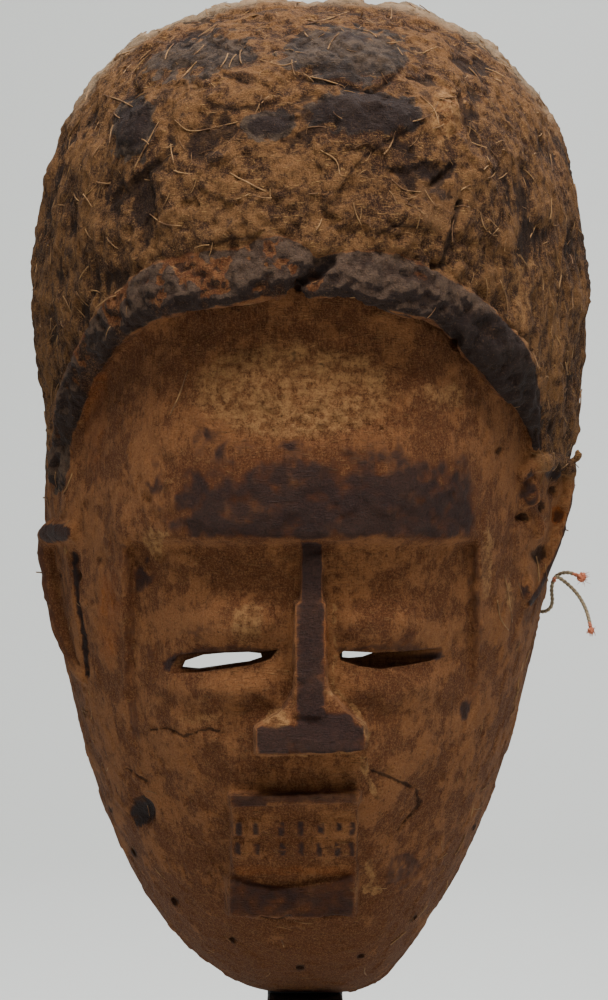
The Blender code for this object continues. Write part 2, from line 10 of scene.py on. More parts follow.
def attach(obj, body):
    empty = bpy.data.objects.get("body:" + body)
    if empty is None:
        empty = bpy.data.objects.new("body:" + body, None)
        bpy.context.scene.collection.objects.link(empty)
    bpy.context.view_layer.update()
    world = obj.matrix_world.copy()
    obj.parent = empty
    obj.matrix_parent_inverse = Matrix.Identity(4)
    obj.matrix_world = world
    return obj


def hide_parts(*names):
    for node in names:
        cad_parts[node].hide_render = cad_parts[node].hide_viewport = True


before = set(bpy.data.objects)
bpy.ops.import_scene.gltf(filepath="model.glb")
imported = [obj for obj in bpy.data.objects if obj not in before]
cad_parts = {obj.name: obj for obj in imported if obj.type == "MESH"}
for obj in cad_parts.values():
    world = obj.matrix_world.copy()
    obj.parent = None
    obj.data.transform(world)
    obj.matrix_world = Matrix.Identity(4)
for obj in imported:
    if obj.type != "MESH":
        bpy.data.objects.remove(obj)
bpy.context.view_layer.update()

# The carved block: one piece of wood worked with an adze to a long face under a domed cap of hair,
# deep in front and flat round the rim behind. Heights are measured up from the chin, and depths
# forward from the plane of the rim, in metres.
RIM_Y = 0.035
CHIN_HEIGHT = 0.110
HALF_WIDTH = 0.1104
CROWN_RISE = 0.1271
JAW_DROP = 0.268
CROWN_POWER = 2.65
LEFT_JAW_POWERS = (2.07, 2.33)
RIGHT_JAW_POWERS = (1.54, 1.935)
JAW_TURN = 5.9
SWELLS = ((201.1, 20.2, -0.0327), (275.9, 5.9, 0.0185), (265.3, 4.7, 0.0040))
RIM_WIDTH = 0.014
DOME_DEPTH = 0.128
SIDE_FLATNESS = 2.6
END_FLATNESS = 4.2
DOME_BELLY = 1.35
FACE_RECESS = 0.014
BROW_HEIGHT = 0.182
BROW_STEP = 0.008


def ease(low, high, value):
    """0 below low, 1 above high, and a smooth rise between."""
    share = np.clip((value - low) / (high - low), 0.0, 1.0)
    return share * share * (3 - 2 * share)


def rim_reach(angle, inset=0.0):
    """Distance from the middle of the widest level to the outline, in each direction."""
    across, along = abs(np.cos(angle)), abs(np.sin(angle))
    on_left = np.cos(angle) < 0
    at_side = np.where(on_left, LEFT_JAW_POWERS[0], RIGHT_JAW_POWERS[0])
    at_chin = np.where(on_left, LEFT_JAW_POWERS[1], RIGHT_JAW_POWERS[1])
    below = np.sin(angle) < 0
    power = np.where(below, at_side + (at_chin - at_side) * along**JAW_TURN, CROWN_POWER)
    end = np.where(below, JAW_DROP, CROWN_RISE) - inset
    swollen = 1.0
    for direction, spread, swell in SWELLS:
        away = abs((np.degrees(angle) - direction + 180) % 360 - 180)
        swollen = swollen + swell * (1 - ease(0.0, spread, away))
    return swollen * ((across / (HALF_WIDTH - inset)) ** power + (along / end) ** power) ** (-1 / power)


def share_out(x, height, inset=0.0):
    """0 at the middle of the widest level and 1 at the outline, and the direction."""
    up = height - JAW_DROP
    angle = np.arctan2(up, x)
    return np.minimum(np.hypot(x, up) / rim_reach(angle, inset), 1.0), angle


def dome(x, height, depth=DOME_DEPTH, inset=0.0):
    """A plain domed form over the outline: its depth in front of the rim."""
    share, angle = share_out(x, height, inset)
    flatness = SIDE_FLATNESS + (END_FLATNESS - SIDE_FLATNESS) * np.sin(angle) ** 2
    return depth * np.maximum(1 - share**flatness, 0.0) ** (1 / DOME_BELLY)


def oval(x, height, middle_x, middle_height, half_width, half_height, soft=0.85):
    """1 in the middle of an oval and 0 outside it, falling over its outer share soft."""
    far = np.hypot((x - middle_x) / half_width, (height - middle_height) / half_height)
    return 1 - ease(1 - soft, 1.0, far)


def inside_hairline(x, height):
    half = np.where(x < 0, 0.098, 0.090)
    up = np.maximum(height - 0.214, 0.0) / 0.070
    return 1 - ease(0.88, 1.02, np.hypot(x / half, up))


def face_panel(x, height):
    """The flat of the face below the brow, between its two side edges."""
    across = ease(-0.0705, -0.0665, x) * (1 - ease(0.0600, 0.0640, x))
    return across * (1 - ease(BROW_HEIGHT - 0.0025, BROW_HEIGHT + 0.0015, height))


def front_depth(x, height):
    """How far the carved front stands before the rim, apart from the raised pieces."""
    share, _ = share_out(x, height)
    inner = 1 - ease(0.78, 0.98, share)
    level = dome(x, height) - FACE_RECESS * inside_hairline(x, height) * inner
    swell = oval(x, height, 0.002, 0.203, 0.078, 0.050, 0.9)
    panel = face_panel(x, height) * ease(0.100, 0.150, height)
    lids = oval(x, height, -0.028, 0.1510, 0.028, 0.0150) + oval(x, height, 0.027, 0.1500, 0.028, 0.0145)
    below = oval(x, height, -0.034, 0.1275, 0.030, 0.0110) + oval(x, height, 0.031, 0.1275, 0.028, 0.0110)
    level += inner * (0.0060 * swell - BROW_STEP * panel + 0.0065 * lids + 0.0038 * below)
    return np.maximum(level, 0.0)


# The camera's place, and with it where the front of the block is seen in the 608 x 1000 frame
EYE_FAR, EYE_X, EYE_UP = 1.40, -0.0024, 0.1968
DOT = 0.0004  # the width of one dot of the frame, at the plane of the rim


def framed(across, down, depth):
    """x and height of the spot that is seen there, if it stands that far before the rim."""
    scale = DOT * (EYE_FAR - depth) / EYE_FAR
    return (across - 304) * scale + EYE_X, EYE_UP - (down - 500) * scale


def seen(*spots, surface=front_depth):
    """The spots of the carved front that are seen at those dots, as x and height in millimetres."""
    found = []
    for across, down in spots:
        depth = 0.08
        for _ in range(14):
            x, height = framed(across, down, depth)
            depth = (depth + float(surface(x, height))) / 2
        found.append((1000 * x, 1000 * height))
    return found


def to_line(x, height, line):
    """Distance from each point to a line through the given places, all in millimetres."""
    nearest = np.full(np.shape(x), 1.0e3)
    for (xa, ha), (xb, hb) in zip(line, line[1:]):
        along_x, along_h = xb - xa, hb - ha
        length = along_x**2 + along_h**2
        share = ((1000 * x - xa) * along_x + (1000 * height - ha) * along_h) / length
        share = np.clip(share, 0.0, 1.0)
        gap = np.hypot(1000 * x - xa - share * along_x, 1000 * height - ha - share * along_h)
        nearest = np.minimum(nearest, gap)
    return nearest


def place(x, depth, height):
    """Points at that depth before the rim and that height above the chin."""
    return np.stack([x, RIM_Y - depth, CHIN_HEIGHT + height], axis=-1)


def outline_grid(columns, rows, inset=0.0):
    """x and height of a square grid bent to fill the outline."""
    v, u = np.meshgrid(np.linspace(-1, 1, rows + 1), np.linspace(-1, 1, columns + 1), indexing="ij")
    across, along = u * np.sqrt(1 - v * v / 2), v * np.sqrt(1 - u * u / 2)
    share = np.minimum(np.hypot(across, along), 1.0)
    share *= 1 + 0.3 * (1 - share)
    angle = np.arctan2(along * np.where(along >= 0, CROWN_RISE, JAW_DROP), across * HALF_WIDTH)
    reach = share * rim_reach(angle, inset)
    return reach * np.cos(angle), JAW_DROP + reach * np.sin(angle)


def grid_faces(columns, rows):
    low = (np.arange(rows)[:, None] * (columns + 1) + np.arange(columns)).reshape(-1)
    return np.stack([low, low + 1, low + columns + 2, low + columns + 1], axis=-1).tolist()


def grid_border(columns, rows):
    """The outer corners of a grid, once round."""
    wide = columns + 1
    foot, right = list(range(wide)), [wide * j + columns for j in range(rows + 1)]
    top = [wide * rows + i for i in range(columns, -1, -1)]
    left = [wide * j for j in range(rows, -1, -1)]
    return foot[:-1] + right[:-1] + top[:-1] + left[:-1]


def new_object(name, points, faces):
    data = bpy.data.meshes.new(name)
    data.from_pydata(np.asarray(points).tolist(), [], faces)
    made = bpy.data.objects.new(name, data)
    bpy.context.scene.collection.objects.link(made)
    return made


def finish_mesh(thing):
    """Works the object's modifiers into a plain mesh."""
    bpy.context.view_layer.update()
    shape = thing.evaluated_get(bpy.context.evaluated_depsgraph_get())
    data = bpy.data.meshes.new_from_object(shape)
    thing.modifiers.clear()
    thing.data = data


COLUMNS, ROWS = 230, 410
grid_x, grid_height = outline_grid(COLUMNS, ROWS)
front = place(grid_x, front_depth(grid_x, grid_height), grid_height).reshape(-1, 3)
block_points = [front]
block_faces = grid_faces(COLUMNS, ROWS) + [grid_border(COLUMNS, ROWS)[::-1]]


def add_form(points, faces):
    """Puts a closed form with the block, to be made one with it."""
    first = sum(len(part) for part in block_points)
    block_points.append(np.asarray(points))
    block_faces.extend([[first + corner for corner in face] for face in faces])


def slab(outline, fronts, backs, draft=0.0):
    """A raised shape: its outline in millimetres, the depth of each corner, and its sides."""
    outline = np.array(outline) / 1000
    away = outline - outline.mean(axis=0)
    away *= draft / np.linalg.norm(away, axis=1, keepdims=True)
    near = place(outline[:, 0], np.asarray(fronts), outline[:, 1])
    far = place(outline[:, 0] + away[:, 0], np.asarray(backs), outline[:, 1] + away[:, 1])
    count = len(outline)
    sides = [[i, count + i, count + (i + 1) % count, (i + 1) % count] for i in range(count)]
    return np.concatenate([near, far]), [list(range(count)), list(range(count, 2 * count))[::-1], *sides]


def swept(path, widths, thicknesses, outward, sides=14):
    """A bar with an oval section along a path, closed at both ends."""
    path = np.asarray(path)
    tangent = np.gradient(path, axis=0)
    tangent /= np.linalg.norm(tangent, axis=1, keepdims=True)
    across = np.cross(tangent, outward)
    across /= np.linalg.norm(across, axis=1, keepdims=True)
    out = np.cross(across, tangent)
    turn = np.linspace(0, 2 * np.pi, sides, endpoint=False)
    wide = np.broadcast_to(np.asarray(widths, dtype=float).reshape(len(path), -1), (len(path), sides))
    thick = np.broadcast_to(np.asarray(thicknesses, dtype=float).reshape(len(path), -1), (len(path), sides))
    rings = (
        path[:, None]
        + across[:, None] * (np.cos(turn) * wide)[:, :, None]
        + out[:, None] * (np.sin(turn) * thick)[:, :, None]
    )
    faces = []
    for i in range(len(path) - 1):
        for j in range(sides):
            k = (j + 1) % sides
            faces.append([i * sides + j, i * sides + k, (i + 1) * sides + k, (i + 1) * sides + j])
    last = (len(path) - 1) * sides
    faces += [list(range(sides))[::-1], list(range(last, last + sides))]
    return rings.reshape(-1, 3), faces


def smooth_path(points, steps):
    """Points read along the smooth curve through the given ones."""
    points = np.asarray(points, dtype=float)
    points = np.vstack([2 * points[0] - points[1], points, 2 * points[-1] - points[-2]])
    smooth = []
    for a, b, c, d in zip(points, points[1:], points[2:], points[3:]):
        for t in np.arange(steps) / steps:
            bend = (2 * a - 5 * b + 4 * c - d) * t**2 + (3 * b - a - 3 * c + d) * t**3
            smooth.append(b + ((c - a) * t + bend) / 2)
    return np.array([*smooth, points[-2]])


def lumps(points, size, octaves=4, stretch=(1.0, 1.0, 1.0)):
    """Cloudy noise at each point, with lumps of about that size, from about -1 to 1."""
    falloff, finer = 1.0, 2.0
    scaled = points / size / np.array(stretch)
    return np.array([noise.fractal(p, falloff, finer, octaves) for p in scaled.tolist()])


# The hairline: a thick roll carved along the front of the cap, from temple to temple, which
# stands proud and hangs over the forehead. Its right half starts as a fold of its own.
LEFT_ROLL = (  # dots across and down, and half of the width in dots
    (57, 486, 8), (59, 462, 11), (66, 430, 14), (76, 394, 17), (92, 354, 17), (114, 324, 18),
    (136, 304, 20), (160, 291, 23), (203, 281, 25), (244, 275, 22), (272, 267, 25), (292, 268, 20),
    (304, 276, 14),
)
RIGHT_ROLL = (
    (301, 290, 9), (318, 280, 15), (342, 276, 20), (374, 279, 24), (409, 288, 22), (442, 301, 19),
    (470, 322, 22), (496, 352, 24), (515, 380, 19), (527, 404, 12), (534, 430, 7), (536, 448, 4),
)
ROLL_DOT = 0.00042  # the width of one dot there
ROLL_THICKNESS = 0.62  # a share of the width
ROLL_SUNK = 0.002
SECTION = np.linspace(0, 2 * np.pi, 18, endpoint=False)
BLUNT = (abs(np.cos(SECTION)) ** 3 + abs(np.sin(SECTION)) ** 3) ** (-1 / 3)
roll_lines = []
for roll in (LEFT_ROLL, RIGHT_ROLL):
    spots = np.array(seen(*[spot[:2] for spot in roll], surface=dome))
    roll_lines.append(smooth_path(np.column_stack([spots, [ROLL_DOT * spot[2] for spot in roll]]), 8))
for line in roll_lines:
    x, height, half = line[:, 0] / 1000, line[:, 1] / 1000, line[:, 2]
    path = place(x, dome(x, height) - ROLL_SUNK, height)
    half = half * (1 + 0.20 * lumps(path, 0.016, 3))
    outward = np.stack([0.35 * x, np.full(len(x), -0.1), 0.35 * (height - 0.22)], -1)
    wide, thick = half[:, None] * BLUNT, ROLL_THICKNESS * half[:, None] * BLUNT
    add_form(*swept(path, wide, thick, outward, len(SECTION)))

# The nose: a narrow straight bar down the middle of the face, with a small step a third of the
# way down, which flares to a broad blunt foot in the shape of a T.
nose_foot = float(front_depth(0.0, 0.104))
nose_top = float(front_depth(0.0, 0.170))
add_form(*slab(
    [(-5.6, 159), (5.4, 159.4), (5.7, 118), (-5.7, 118)],
    [nose_top + 0.0075, nose_top + 0.0075, nose_foot + 0.0185, nose_foot + 0.0185],
    [nose_top - 0.010, nose_top - 0.010, nose_foot - 0.010, nose_foot - 0.010],
    0.0010,
))
add_form(*slab(
    [(-3.4, 184), (4.3, 184), (4.5, 158), (-3.6, 158)],
    [nose_top + 0.0050, nose_top + 0.0050, nose_top + 0.0062, nose_top + 0.0062],
    [nose_top - 0.010] * 4,
    0.0010,
))
add_form(*slab(
    [(-20.2, 103.4), (20.2, 105.4), (19.6, 114.2), (12.5, 119.0), (6.0, 127.0),
     (-5.6, 127.0), (-10.5, 119.5), (-20.0, 113.2)],
    [nose_foot + 0.0210, nose_foot + 0.0210, nose_foot + 0.0200, nose_foot + 0.0165, nose_foot + 0.0150,
     nose_foot + 0.0150, nose_foot + 0.0165, nose_foot + 0.0200],
    [nose_foot - 0.012] * 8,
    0.0015,
))

# The mouth: a block with a thin upper lip, two rows of small square teeth and a heavy lower lip
# whose upper edge sags in the middle.
MOUTH_LEFT, MOUTH_RIGHT = -29.6, 17.6
MOUTH_TOP, MOUTH_FOOT = 88.2, 39.6


def mouth_depth(height_mm, proud):
    """The front of the mouth block, raised by proud: it leans in a little less than the face."""
    share = (np.asarray(height_mm) - MOUTH_FOOT) / (MOUTH_TOP - MOUTH_FOOT)
    top = front_depth(-0.006, MOUTH_TOP / 1000) + 0.0055
    foot = front_depth(-0.006, MOUTH_FOOT / 1000) + 0.0085
    return foot + (top - foot) * share + proud


def mouth_bar(outline, proud, draft=0.002):
    heights = [height for _, height in outline]
    add_form(*slab(outline, mouth_depth(heights, proud), mouth_depth(heights, -0.014), draft))


mouth_bar(
    [(MOUTH_LEFT + 0.6, 41), (MOUTH_RIGHT - 0.4, 41), (MOUTH_RIGHT - 0.4, 87), (MOUTH_LEFT + 0.6, 87)],
    0.0,
)
mouth_bar([(-29.6, 82.8), (-15.0, 83.4), (17.7, 84.6), (17.8, 88.6), (-15.0, 87.4), (-29.6, 87.2)], 0.0030)
mouth_bar(
    [(-30.4, 39.4), (-7.0, 38.8), (16.8, 39.6), (16.4, 55.6), (5.4, 53.4), (-6.1, 51.2), (-12.7, 50.6),
     (-22.4, 52.0), (-30.4, 54.4)],
    0.0034,
)
TEETH = (
    (74.2, (-26.7, -20.4, -10.9, -3.6, 3.9, 10.7, 15.6)),
    (66.0, (-27.2, -20.0, -10.4, -3.6, 3.3, 10.2, 15.4)),
)
for tooth_height, columns in TEETH:
    for x in columns:
        half = 1.9 if abs(x) > 15 else 2.4
        mouth_bar(
            [(x - half, tooth_height - 2.7), (x + half, tooth_height - 2.7),
             (x + half, tooth_height + 2.7), (x - half, tooth_height + 2.7)],
            0.0016,
            0.0004,
        )

# The ears: a raised crescent on each side of the head, the right one higher up, with a thinner
# rim, and with small lumps in front of its opening.
LEFT_EAR = (  # dots across and down, depth before the rim and half of the width in millimetres
    (77, 532, 52, 3.8), (67, 531, 45, 4.4), (56, 532, 36, 4.8), (48, 538, 29, 4.4),
    (46.5, 554, 26, 4.0), (51, 576, 25, 4.4), (55.5, 601, 25, 4.3), (62, 629, 27, 4.0),
    (69.5, 652, 31, 3.6), (78, 668, 37, 3.1), (87, 677, 43, 2.6),
)
RIGHT_EAR = (
    (517, 478, 58, 2.6), (528, 467, 51, 3.0), (543, 463, 42, 3.3), (557, 463, 34, 3.5),
    (567.5, 468, 28, 3.2), (568.5, 488, 26, 2.4), (564.5, 509, 26, 2.3), (556.5, 538, 27, 2.3),
    (549, 557, 28, 2.3), (541, 577, 31, 2.3), (532, 594, 37, 2.2), (524, 603, 43, 2.0),
)
for side, ear in ((-1, LEFT_EAR), (1, RIGHT_EAR)):
    points = []
    for across, down, depth, _ in ear:
        x, height = framed(across, down, depth / 1000)
        points.append(place(x, max(depth / 1000, float(front_depth(x, height)) + 0.0005), height))
    fine = smooth_path(points, 6)
    half = smooth_path([(width, 0) for _, _, _, width in ear], 6)[:, 0] / 1000
    half *= 1 + 0.15 * lumps(fine, 0.008, 3)
    add_form(*swept(fine, half, 0.9 * half, np.tile([side * 0.6, -1.0, 0.0], (len(fine), 1))))
    bed = bmesh.new()
    inward = np.array([-side, 1.0, 0.0]) / math.sqrt(2) * 0.012
    for point in points:
        bed.verts.new(point + inward * 0.20)
        bed.verts.new(point + inward)
    bmesh.ops.convex_hull(bed, input=bed.verts)
    loose = [v for v in bed.verts if not v.link_faces]
    bmesh.ops.delete(bed, geom=loose, context="VERTS")
    bed.verts.index_update()
    add_form([list(v.co) for v in bed.verts], [[v.index for v in f.verts] for f in bed.faces])
    bed.free()

PEBBLES = (  # dots across and down, depth where it isn't on the front, and three half sizes
    (530, 490, None, (4.6, 3.0, 6.6)), (553, 474, 41, (4.4, 2.6, 3.6)), (537, 526, None, (3.5, 3.2, 4.8)),
    (577.5, 455, 30, (1.7, 1.7, 2.6)), (526, 587, None, (2.8, 2.0, 5.6)),
)
for across, down, depth, halves in PEBBLES:
    if depth is None:
        x, height = (value / 1000 for value in seen((across, down))[0])
    else:
        x, height = framed(across, down, depth / 1000)
    depth = float(front_depth(x, height)) if depth is None else depth / 1000
    ball = bmesh.new()
    bmesh.ops.create_icosphere(ball, subdivisions=3, radius=0.001)
    corners = np.array([list(v.co) for v in ball.verts]) * halves + place(x, depth, height)
    add_form(corners, [[v.index for v in f.verts] for f in ball.faces])
    ball.free()

# All of it is one block, so the forms are made one here. The adze and the crust of earth that
# covers the block leave no edge sharp: the crust is cracked, flaked and pitted, and lies in thick
# smooth skins on the cap.
VOXEL = 0.0009
MOST_TRIANGLES = 160000
BROAD_LUMPS, SMALL_LUMPS = 0.018, 0.005
FIBRES = 0.0030
PLATES = 0.026
FLAKES = 0.011
CRACKLE = 0.0062
block = new_object("carved_mask", np.concatenate(block_points), block_faces)
remesh = block.modifiers.new("one block", "REMESH")
remesh.mode = "VOXEL"
remesh.voxel_size = VOXEL
soften = block.modifiers.new("worn", "SMOOTH")
soften.factor = 0.5
soften.iterations = 2
finish_mesh(block)

CRACKS = (  # width and depth in millimetres, and the line in dots
    (1.1, 0.9, ((371, 770), (392, 778), (416, 789), (420, 806), (407, 819), (399, 829))),
    (0.8, 0.7, ((150, 730), (167, 728), (184, 736), (209, 728), (223, 733))),
    (0.9, 0.7, ((126, 768), (147, 781))),
    (1.9, 1.6, ((459, 96), (466, 122), (478, 145))),
    (1.6, 1.4, ((499, 96), (508, 119))),
    (2.0, 1.6, ((453, 168), (434, 184))),
    (1.8, 1.7, ((461, 203), (451, 230), (441, 266))),
    (1.4, 1.3, ((209, 44), (225, 50), (240, 53))),
    (1.4, 1.2, ((225, 75), (247, 83))),
    (1.6, 1.5, ((262, 915), (277, 918), (290, 913))),
    (1.6, 1.4, ((322, 916), (333, 913), (345, 914))),
    (1.8, 2.0, ((74, 552), (76.5, 576), (77, 602), (82, 626), (85, 650), (88, 674))),
    (2.4, 2.4, ((298, 287), (316, 277), (333, 264))),
)
PITS = (  # dots across and down, then half width, half height and depth in millimetres
    (142, 811, 7.4, 8.2, 3.4), (434, 265, 2.4, 2.4, 2.6), (455, 340, 2.8, 3.8, 2.6),
    (522, 518, 3.4, 2.8, 3.2), (553, 490, 2.8, 2.0, 2.2), (542, 506, 2.2, 3.0, 2.4),
    (540, 553, 5.4, 5.6, 2.0), (557, 515, 3.8, 5.4, 1.6), (60, 575, 2.2, 3.0, 1.0),
    (76, 575, 3.0, 3.4, 1.6), (103, 560, 3.4, 4.0, 1.0), (163, 555, 4.0, 3.4, 1.2),
    (150, 500, 3.0, 2.4, 1.0), (500, 452, 2.2, 2.6, 1.6), (534, 453, 1.5, 2.2, 1.4),
    (318, 222, 9.0, 4.4, 1.2), (345, 232, 5.0, 3.0, 1.4), (292, 236, 5.0, 3.0, 1.3),
    (128, 232, 3.0, 2.6, 1.2), (214, 228, 3.6, 2.4, 1.2),
)
SWELLINGS = (
    (268, 125, 12.5, 6.8, 2.0), (214, 157, 5.2, 3.2, 1.9), (168, 482, 2.0, 1.5, 1.5),
    (255, 385, 17.0, 12.0, 2.2), (345, 400, 16.0, 11.0, 1.6), (420, 392, 14.0, 8.0, 1.2),
    (130, 125, 11.0, 14.0, 1.8), (350, 55, 22.0, 10.0, 1.0), (365, 110, 22.0, 8.0, 0.9),
    (448, 108, 7.0, 13.0, 1.6), (195, 100, 12.0, 9.0, 1.4), (488, 180, 6.0, 12.0, 1.4),
    (120, 520, 6.0, 10.0, 1.0), (500, 610, 6.0, 16.0, 0.8), (160, 600, 6.0, 8.0, 0.7),
    (440, 640, 6.0, 10.0, 0.6),
)
STEPS = (  # height and reach of the skin above the line, in millimetres, and the line in dots
    (1.7, 18.0, ((286, 70), (300, 79), (325, 81), (345, 85), (363, 90), (380, 86), (392, 78), (404, 64))),
    (1.3, 14.0, ((322, 206), (334, 200), (348, 176), (363, 156), (386, 141), (410, 128), (432, 118))),
    (1.4, 12.0, ((108, 196), (124, 182), (142, 170), (158, 158), (170, 142))),
    (1.2, 12.0, ((196, 96), (214, 104), (236, 108), (262, 104), (286, 98))),
    (1.2, 9.0, ((196, 250), (220, 240), (250, 236), (276, 240))),
    (1.3, 9.0, ((370, 236), (392, 226), (416, 224), (436, 232))),
)
CRACK_LINES = [(width, deep, seen(*line)) for width, deep, line in CRACKS]
STEP_LINES = [(high, reach, np.array(seen(*line))) for high, reach, line in STEPS]
PIT_PLACES = [(*seen(spot[:2])[0], *spot[2:]) for spot in PITS]
SWELLING_PLACES = [(*seen(spot[:2])[0], *spot[2:]) for spot in SWELLINGS]


def box(x, height, left, right, foot, top, soft):
    """1 inside a box given in millimetres and 0 outside it, over a soft edge that wide."""
    x, height = 1000 * x, 1000 * height
    across = ease(left - soft, left + soft, x) * (1 - ease(right - soft, right + soft, x))
    return across * ease(foot - soft, foot + soft, height) * (1 - ease(top - soft, top + soft, height))


def survey(points):
    """What lies at each point: its place, the noise there, the zones of the carving, the relief, and the painted
    shade of its cracks, pits and step edges.
    """
    x, height, depth = points[:, 0], points[:, 2] - CHIN_HEIGHT, RIM_Y - points[:, 1]
    coarse, fine = lumps(points, BROAD_LUMPS, 4), lumps(points + 0.5, SMALL_LUMPS, 4)
    upright = lumps(points + 2.0, FIBRES, 3, (1.0, 1.0, 5.0))
    plates = 2.4 * lumps(points + 7.0, PLATES, 5)
    plates = np.floor(plates) + ease(0.38, 0.62, plates - np.floor(plates))
    on_roll = np.zeros(len(points))
    for line in roll_lines:
        for (xa, ha, half), (xb, hb, _) in zip(line[::2], line[2::2]):
            gap = to_line(x, height, ((xa, ha), (xb, hb)))
            on_roll = np.maximum(on_roll, 1 - ease(0.85, 1.25, (gap + 1.2 * fine) / (1000 * half)))
    on_roll *= ease(-0.010, -0.003, depth - dome(x, height))
    cap = (1 - inside_hairline(x, height)) * ease(0.190, 0.220, height) * (1 - on_roll)
    sides = ease(0.055, 0.085, abs(x))
    crust = 1.7 * coarse + 1.3 * (1 - 0.5 * sides) * plates + 0.6 * (1 - sides) * fine
    crust += 0.8 * sides * upright
    relief = cap * crust
    relief += (1 - cap) * (0.45 * coarse + 0.30 * fine) + on_roll * (1.3 * fine + 1.0 * coarse)
    flakes = ease(0.05, 0.22, lumps(points + 4.0, FLAKES, 5))
    relief += 0.5 * flakes * (1 - 0.5 * on_roll)
    tan = oval(x, height, -0.006, 0.237, 0.058, 0.028, 0.5)
    if tan.any():
        cells = np.zeros(len(points))
        near = np.nonzero(tan > 0)[0]
        for i in near.tolist():
            gaps = noise.voronoi(Vector(points[i] / CRACKLE + 0.35 * coarse[i]))[0]
            cells[i] = gaps[1] - gaps[0]
        relief -= 0.8 * tan * (1 - ease(0.0, 0.28, cells))
    # Painted shade: a darker colour in the cracks, in the pits and along the edge of each step of the crust.
    crevice_shade = np.zeros(len(points))
    for width, deep, line in CRACK_LINES:
        cut = 1 - ease(0.12 * width, width, to_line(x, height, line) + 0.55 * fine)
        relief -= deep * cut
        crevice_shade = np.maximum(crevice_shade, cut)
    for middle_x, middle_height, wide, tall, deep in PIT_PLACES:
        hole = oval(x + 0.0012 * coarse, height + 0.0014 * fine, middle_x / 1000, middle_height / 1000,
                    wide / 1000, tall / 1000, 0.7)
        relief -= deep * hole
        crevice_shade = np.maximum(crevice_shade, 0.55 * hole * min(1.0, deep / 2))
    for middle_x, middle_height, wide, tall, high in SWELLING_PLACES:
        hump = oval(x, height, middle_x / 1000, middle_height / 1000, wide / 1000, tall / 1000)
        relief += high * hump
    for high, reach, line in STEP_LINES:
        over = 1000 * height + 0.8 * fine - np.interp(1000 * x, line[:, 0], line[:, 1])
        along = ease(0, 4, 1000 * x - line[0, 0]) * (1 - ease(-4, 0, 1000 * x - line[-1, 0]))
        relief += high * along * ease(-0.5, 0.7, over) * (1 - ease(0.3 * reach, reach, over))
        crevice_shade = np.maximum(crevice_shade, 0.8 * along * (1 - ease(0.2, 1.6, abs(over + 0.5))))
    return {
        "x": x, "height": height, "depth": depth, "coarse": coarse, "fine": fine, "on_roll": on_roll,
        "cap": cap, "sides": sides, "tan": tan, "crevice_shade": crevice_shade, "relief": relief / 1000 * ease(0.001, 0.006, depth),
    }


def corners(thing):
    """The places and the normals of a mesh's points."""
    points, normals = (np.empty(3 * len(thing.data.vertices)) for _ in range(2))
    thing.data.vertices.foreach_get("co", points)
    thing.data.vertices.foreach_get("normal", normals)
    return points.reshape(-1, 3), normals.reshape(-1, 3)


points, normals = corners(block)
points += normals * survey(points)["relief"][:, None]
block.data.vertices.foreach_set("co", points.reshape(-1))
thin = block.modifiers.new("fewer faces", "DECIMATE")
thin.ratio = min(1.0, MOST_TRIANGLES / (2 * len(block.data.polygons)))
finish_mesh(block)

# The hollow behind, cut with a gouge in short scoops, and the openings: the two slit eyes, the left
# one cut through but for its ends and the right one only at its inner end, and small rim holes.
HOLLOW_DEPTH = 0.088
HOLLOW_COLUMNS, HOLLOW_ROWS = 96, 168
GOUGE_WIDTH, GOUGE_LENGTH, GOUGE_DEPTH = 0.0125, 0.021, 0.0009
hollow_x, hollow_height = outline_grid(HOLLOW_COLUMNS, HOLLOW_ROWS, RIM_WIDTH)
hollow_level = dome(hollow_x, hollow_height, HOLLOW_DEPTH, RIM_WIDTH)
scoop_row = np.floor(hollow_height / GOUGE_LENGTH)
scoop = abs(np.sin(math.pi * (hollow_x / GOUGE_WIDTH + 0.37 * scoop_row)))
scoop *= abs(np.sin(math.pi * (hollow_height / GOUGE_LENGTH + 0.25 * np.sin(120 * hollow_x))))
hollow_level += GOUGE_DEPTH * (scoop - 1.0) * ease(0.004, 0.020, hollow_level)
hollow_front = place(hollow_x, hollow_level, hollow_height).reshape(-1, 3)
hollow_ring = grid_border(HOLLOW_COLUMNS, HOLLOW_ROWS)
behind = hollow_front[hollow_ring] + (0.0, 0.010, 0.0)
count, first = len(hollow_ring), len(hollow_front)
hollow_faces = grid_faces(HOLLOW_COLUMNS, HOLLOW_ROWS)
for i in range(count):
    j = (i + 1) % count
    hollow_faces.append([hollow_ring[j], hollow_ring[i], first + i, first + j])
hollow_faces.append(list(range(first, first + count))[::-1])
cutters = [new_object("hollow_cutter", np.concatenate([hollow_front, behind]), hollow_faces)]

LEFT_PEEP = [(-48.4, 133.6), (-47.0, 136.6), (-40.0, 138.9), (-32.4, 139.6), (-23.0, 139.9), (-18.6, 139.4),
             (-18.2, 137.8), (-23.0, 136.2), (-32.4, 134.8), (-41.9, 133.2)]
LEFT_SLIT = [(-57.3, 132.0), (-53.7, 135.1), (-49.0, 139.0), (-42.7, 140.0), (-32.4, 140.6), (-23.0, 141.0),
             (-17.9, 140.7), (-11.9, 141.4), (-14.9, 138.0), (-17.9, 136.7), (-23.0, 135.4), (-32.4, 134.0),
             (-41.9, 132.5), (-48.0, 132.1), (-54.2, 131.6)]
RIGHT_SLIT = [(10.7, 139.7), (12.4, 140.8), (23.9, 140.2), (36.0, 140.6), (49.2, 141.3), (52.3, 139.2),
              (44.7, 136.5), (36.0, 135.2), (25.6, 134.0), (17.9, 135.2), (11.1, 137.4)]
RIGHT_PEEP = [(11.2, 139.6), (12.6, 140.5), (17.9, 140.1), (23.9, 139.4), (19.6, 137.9), (14.5, 137.5),
              (11.5, 137.8)]
THROUGH = 0.03
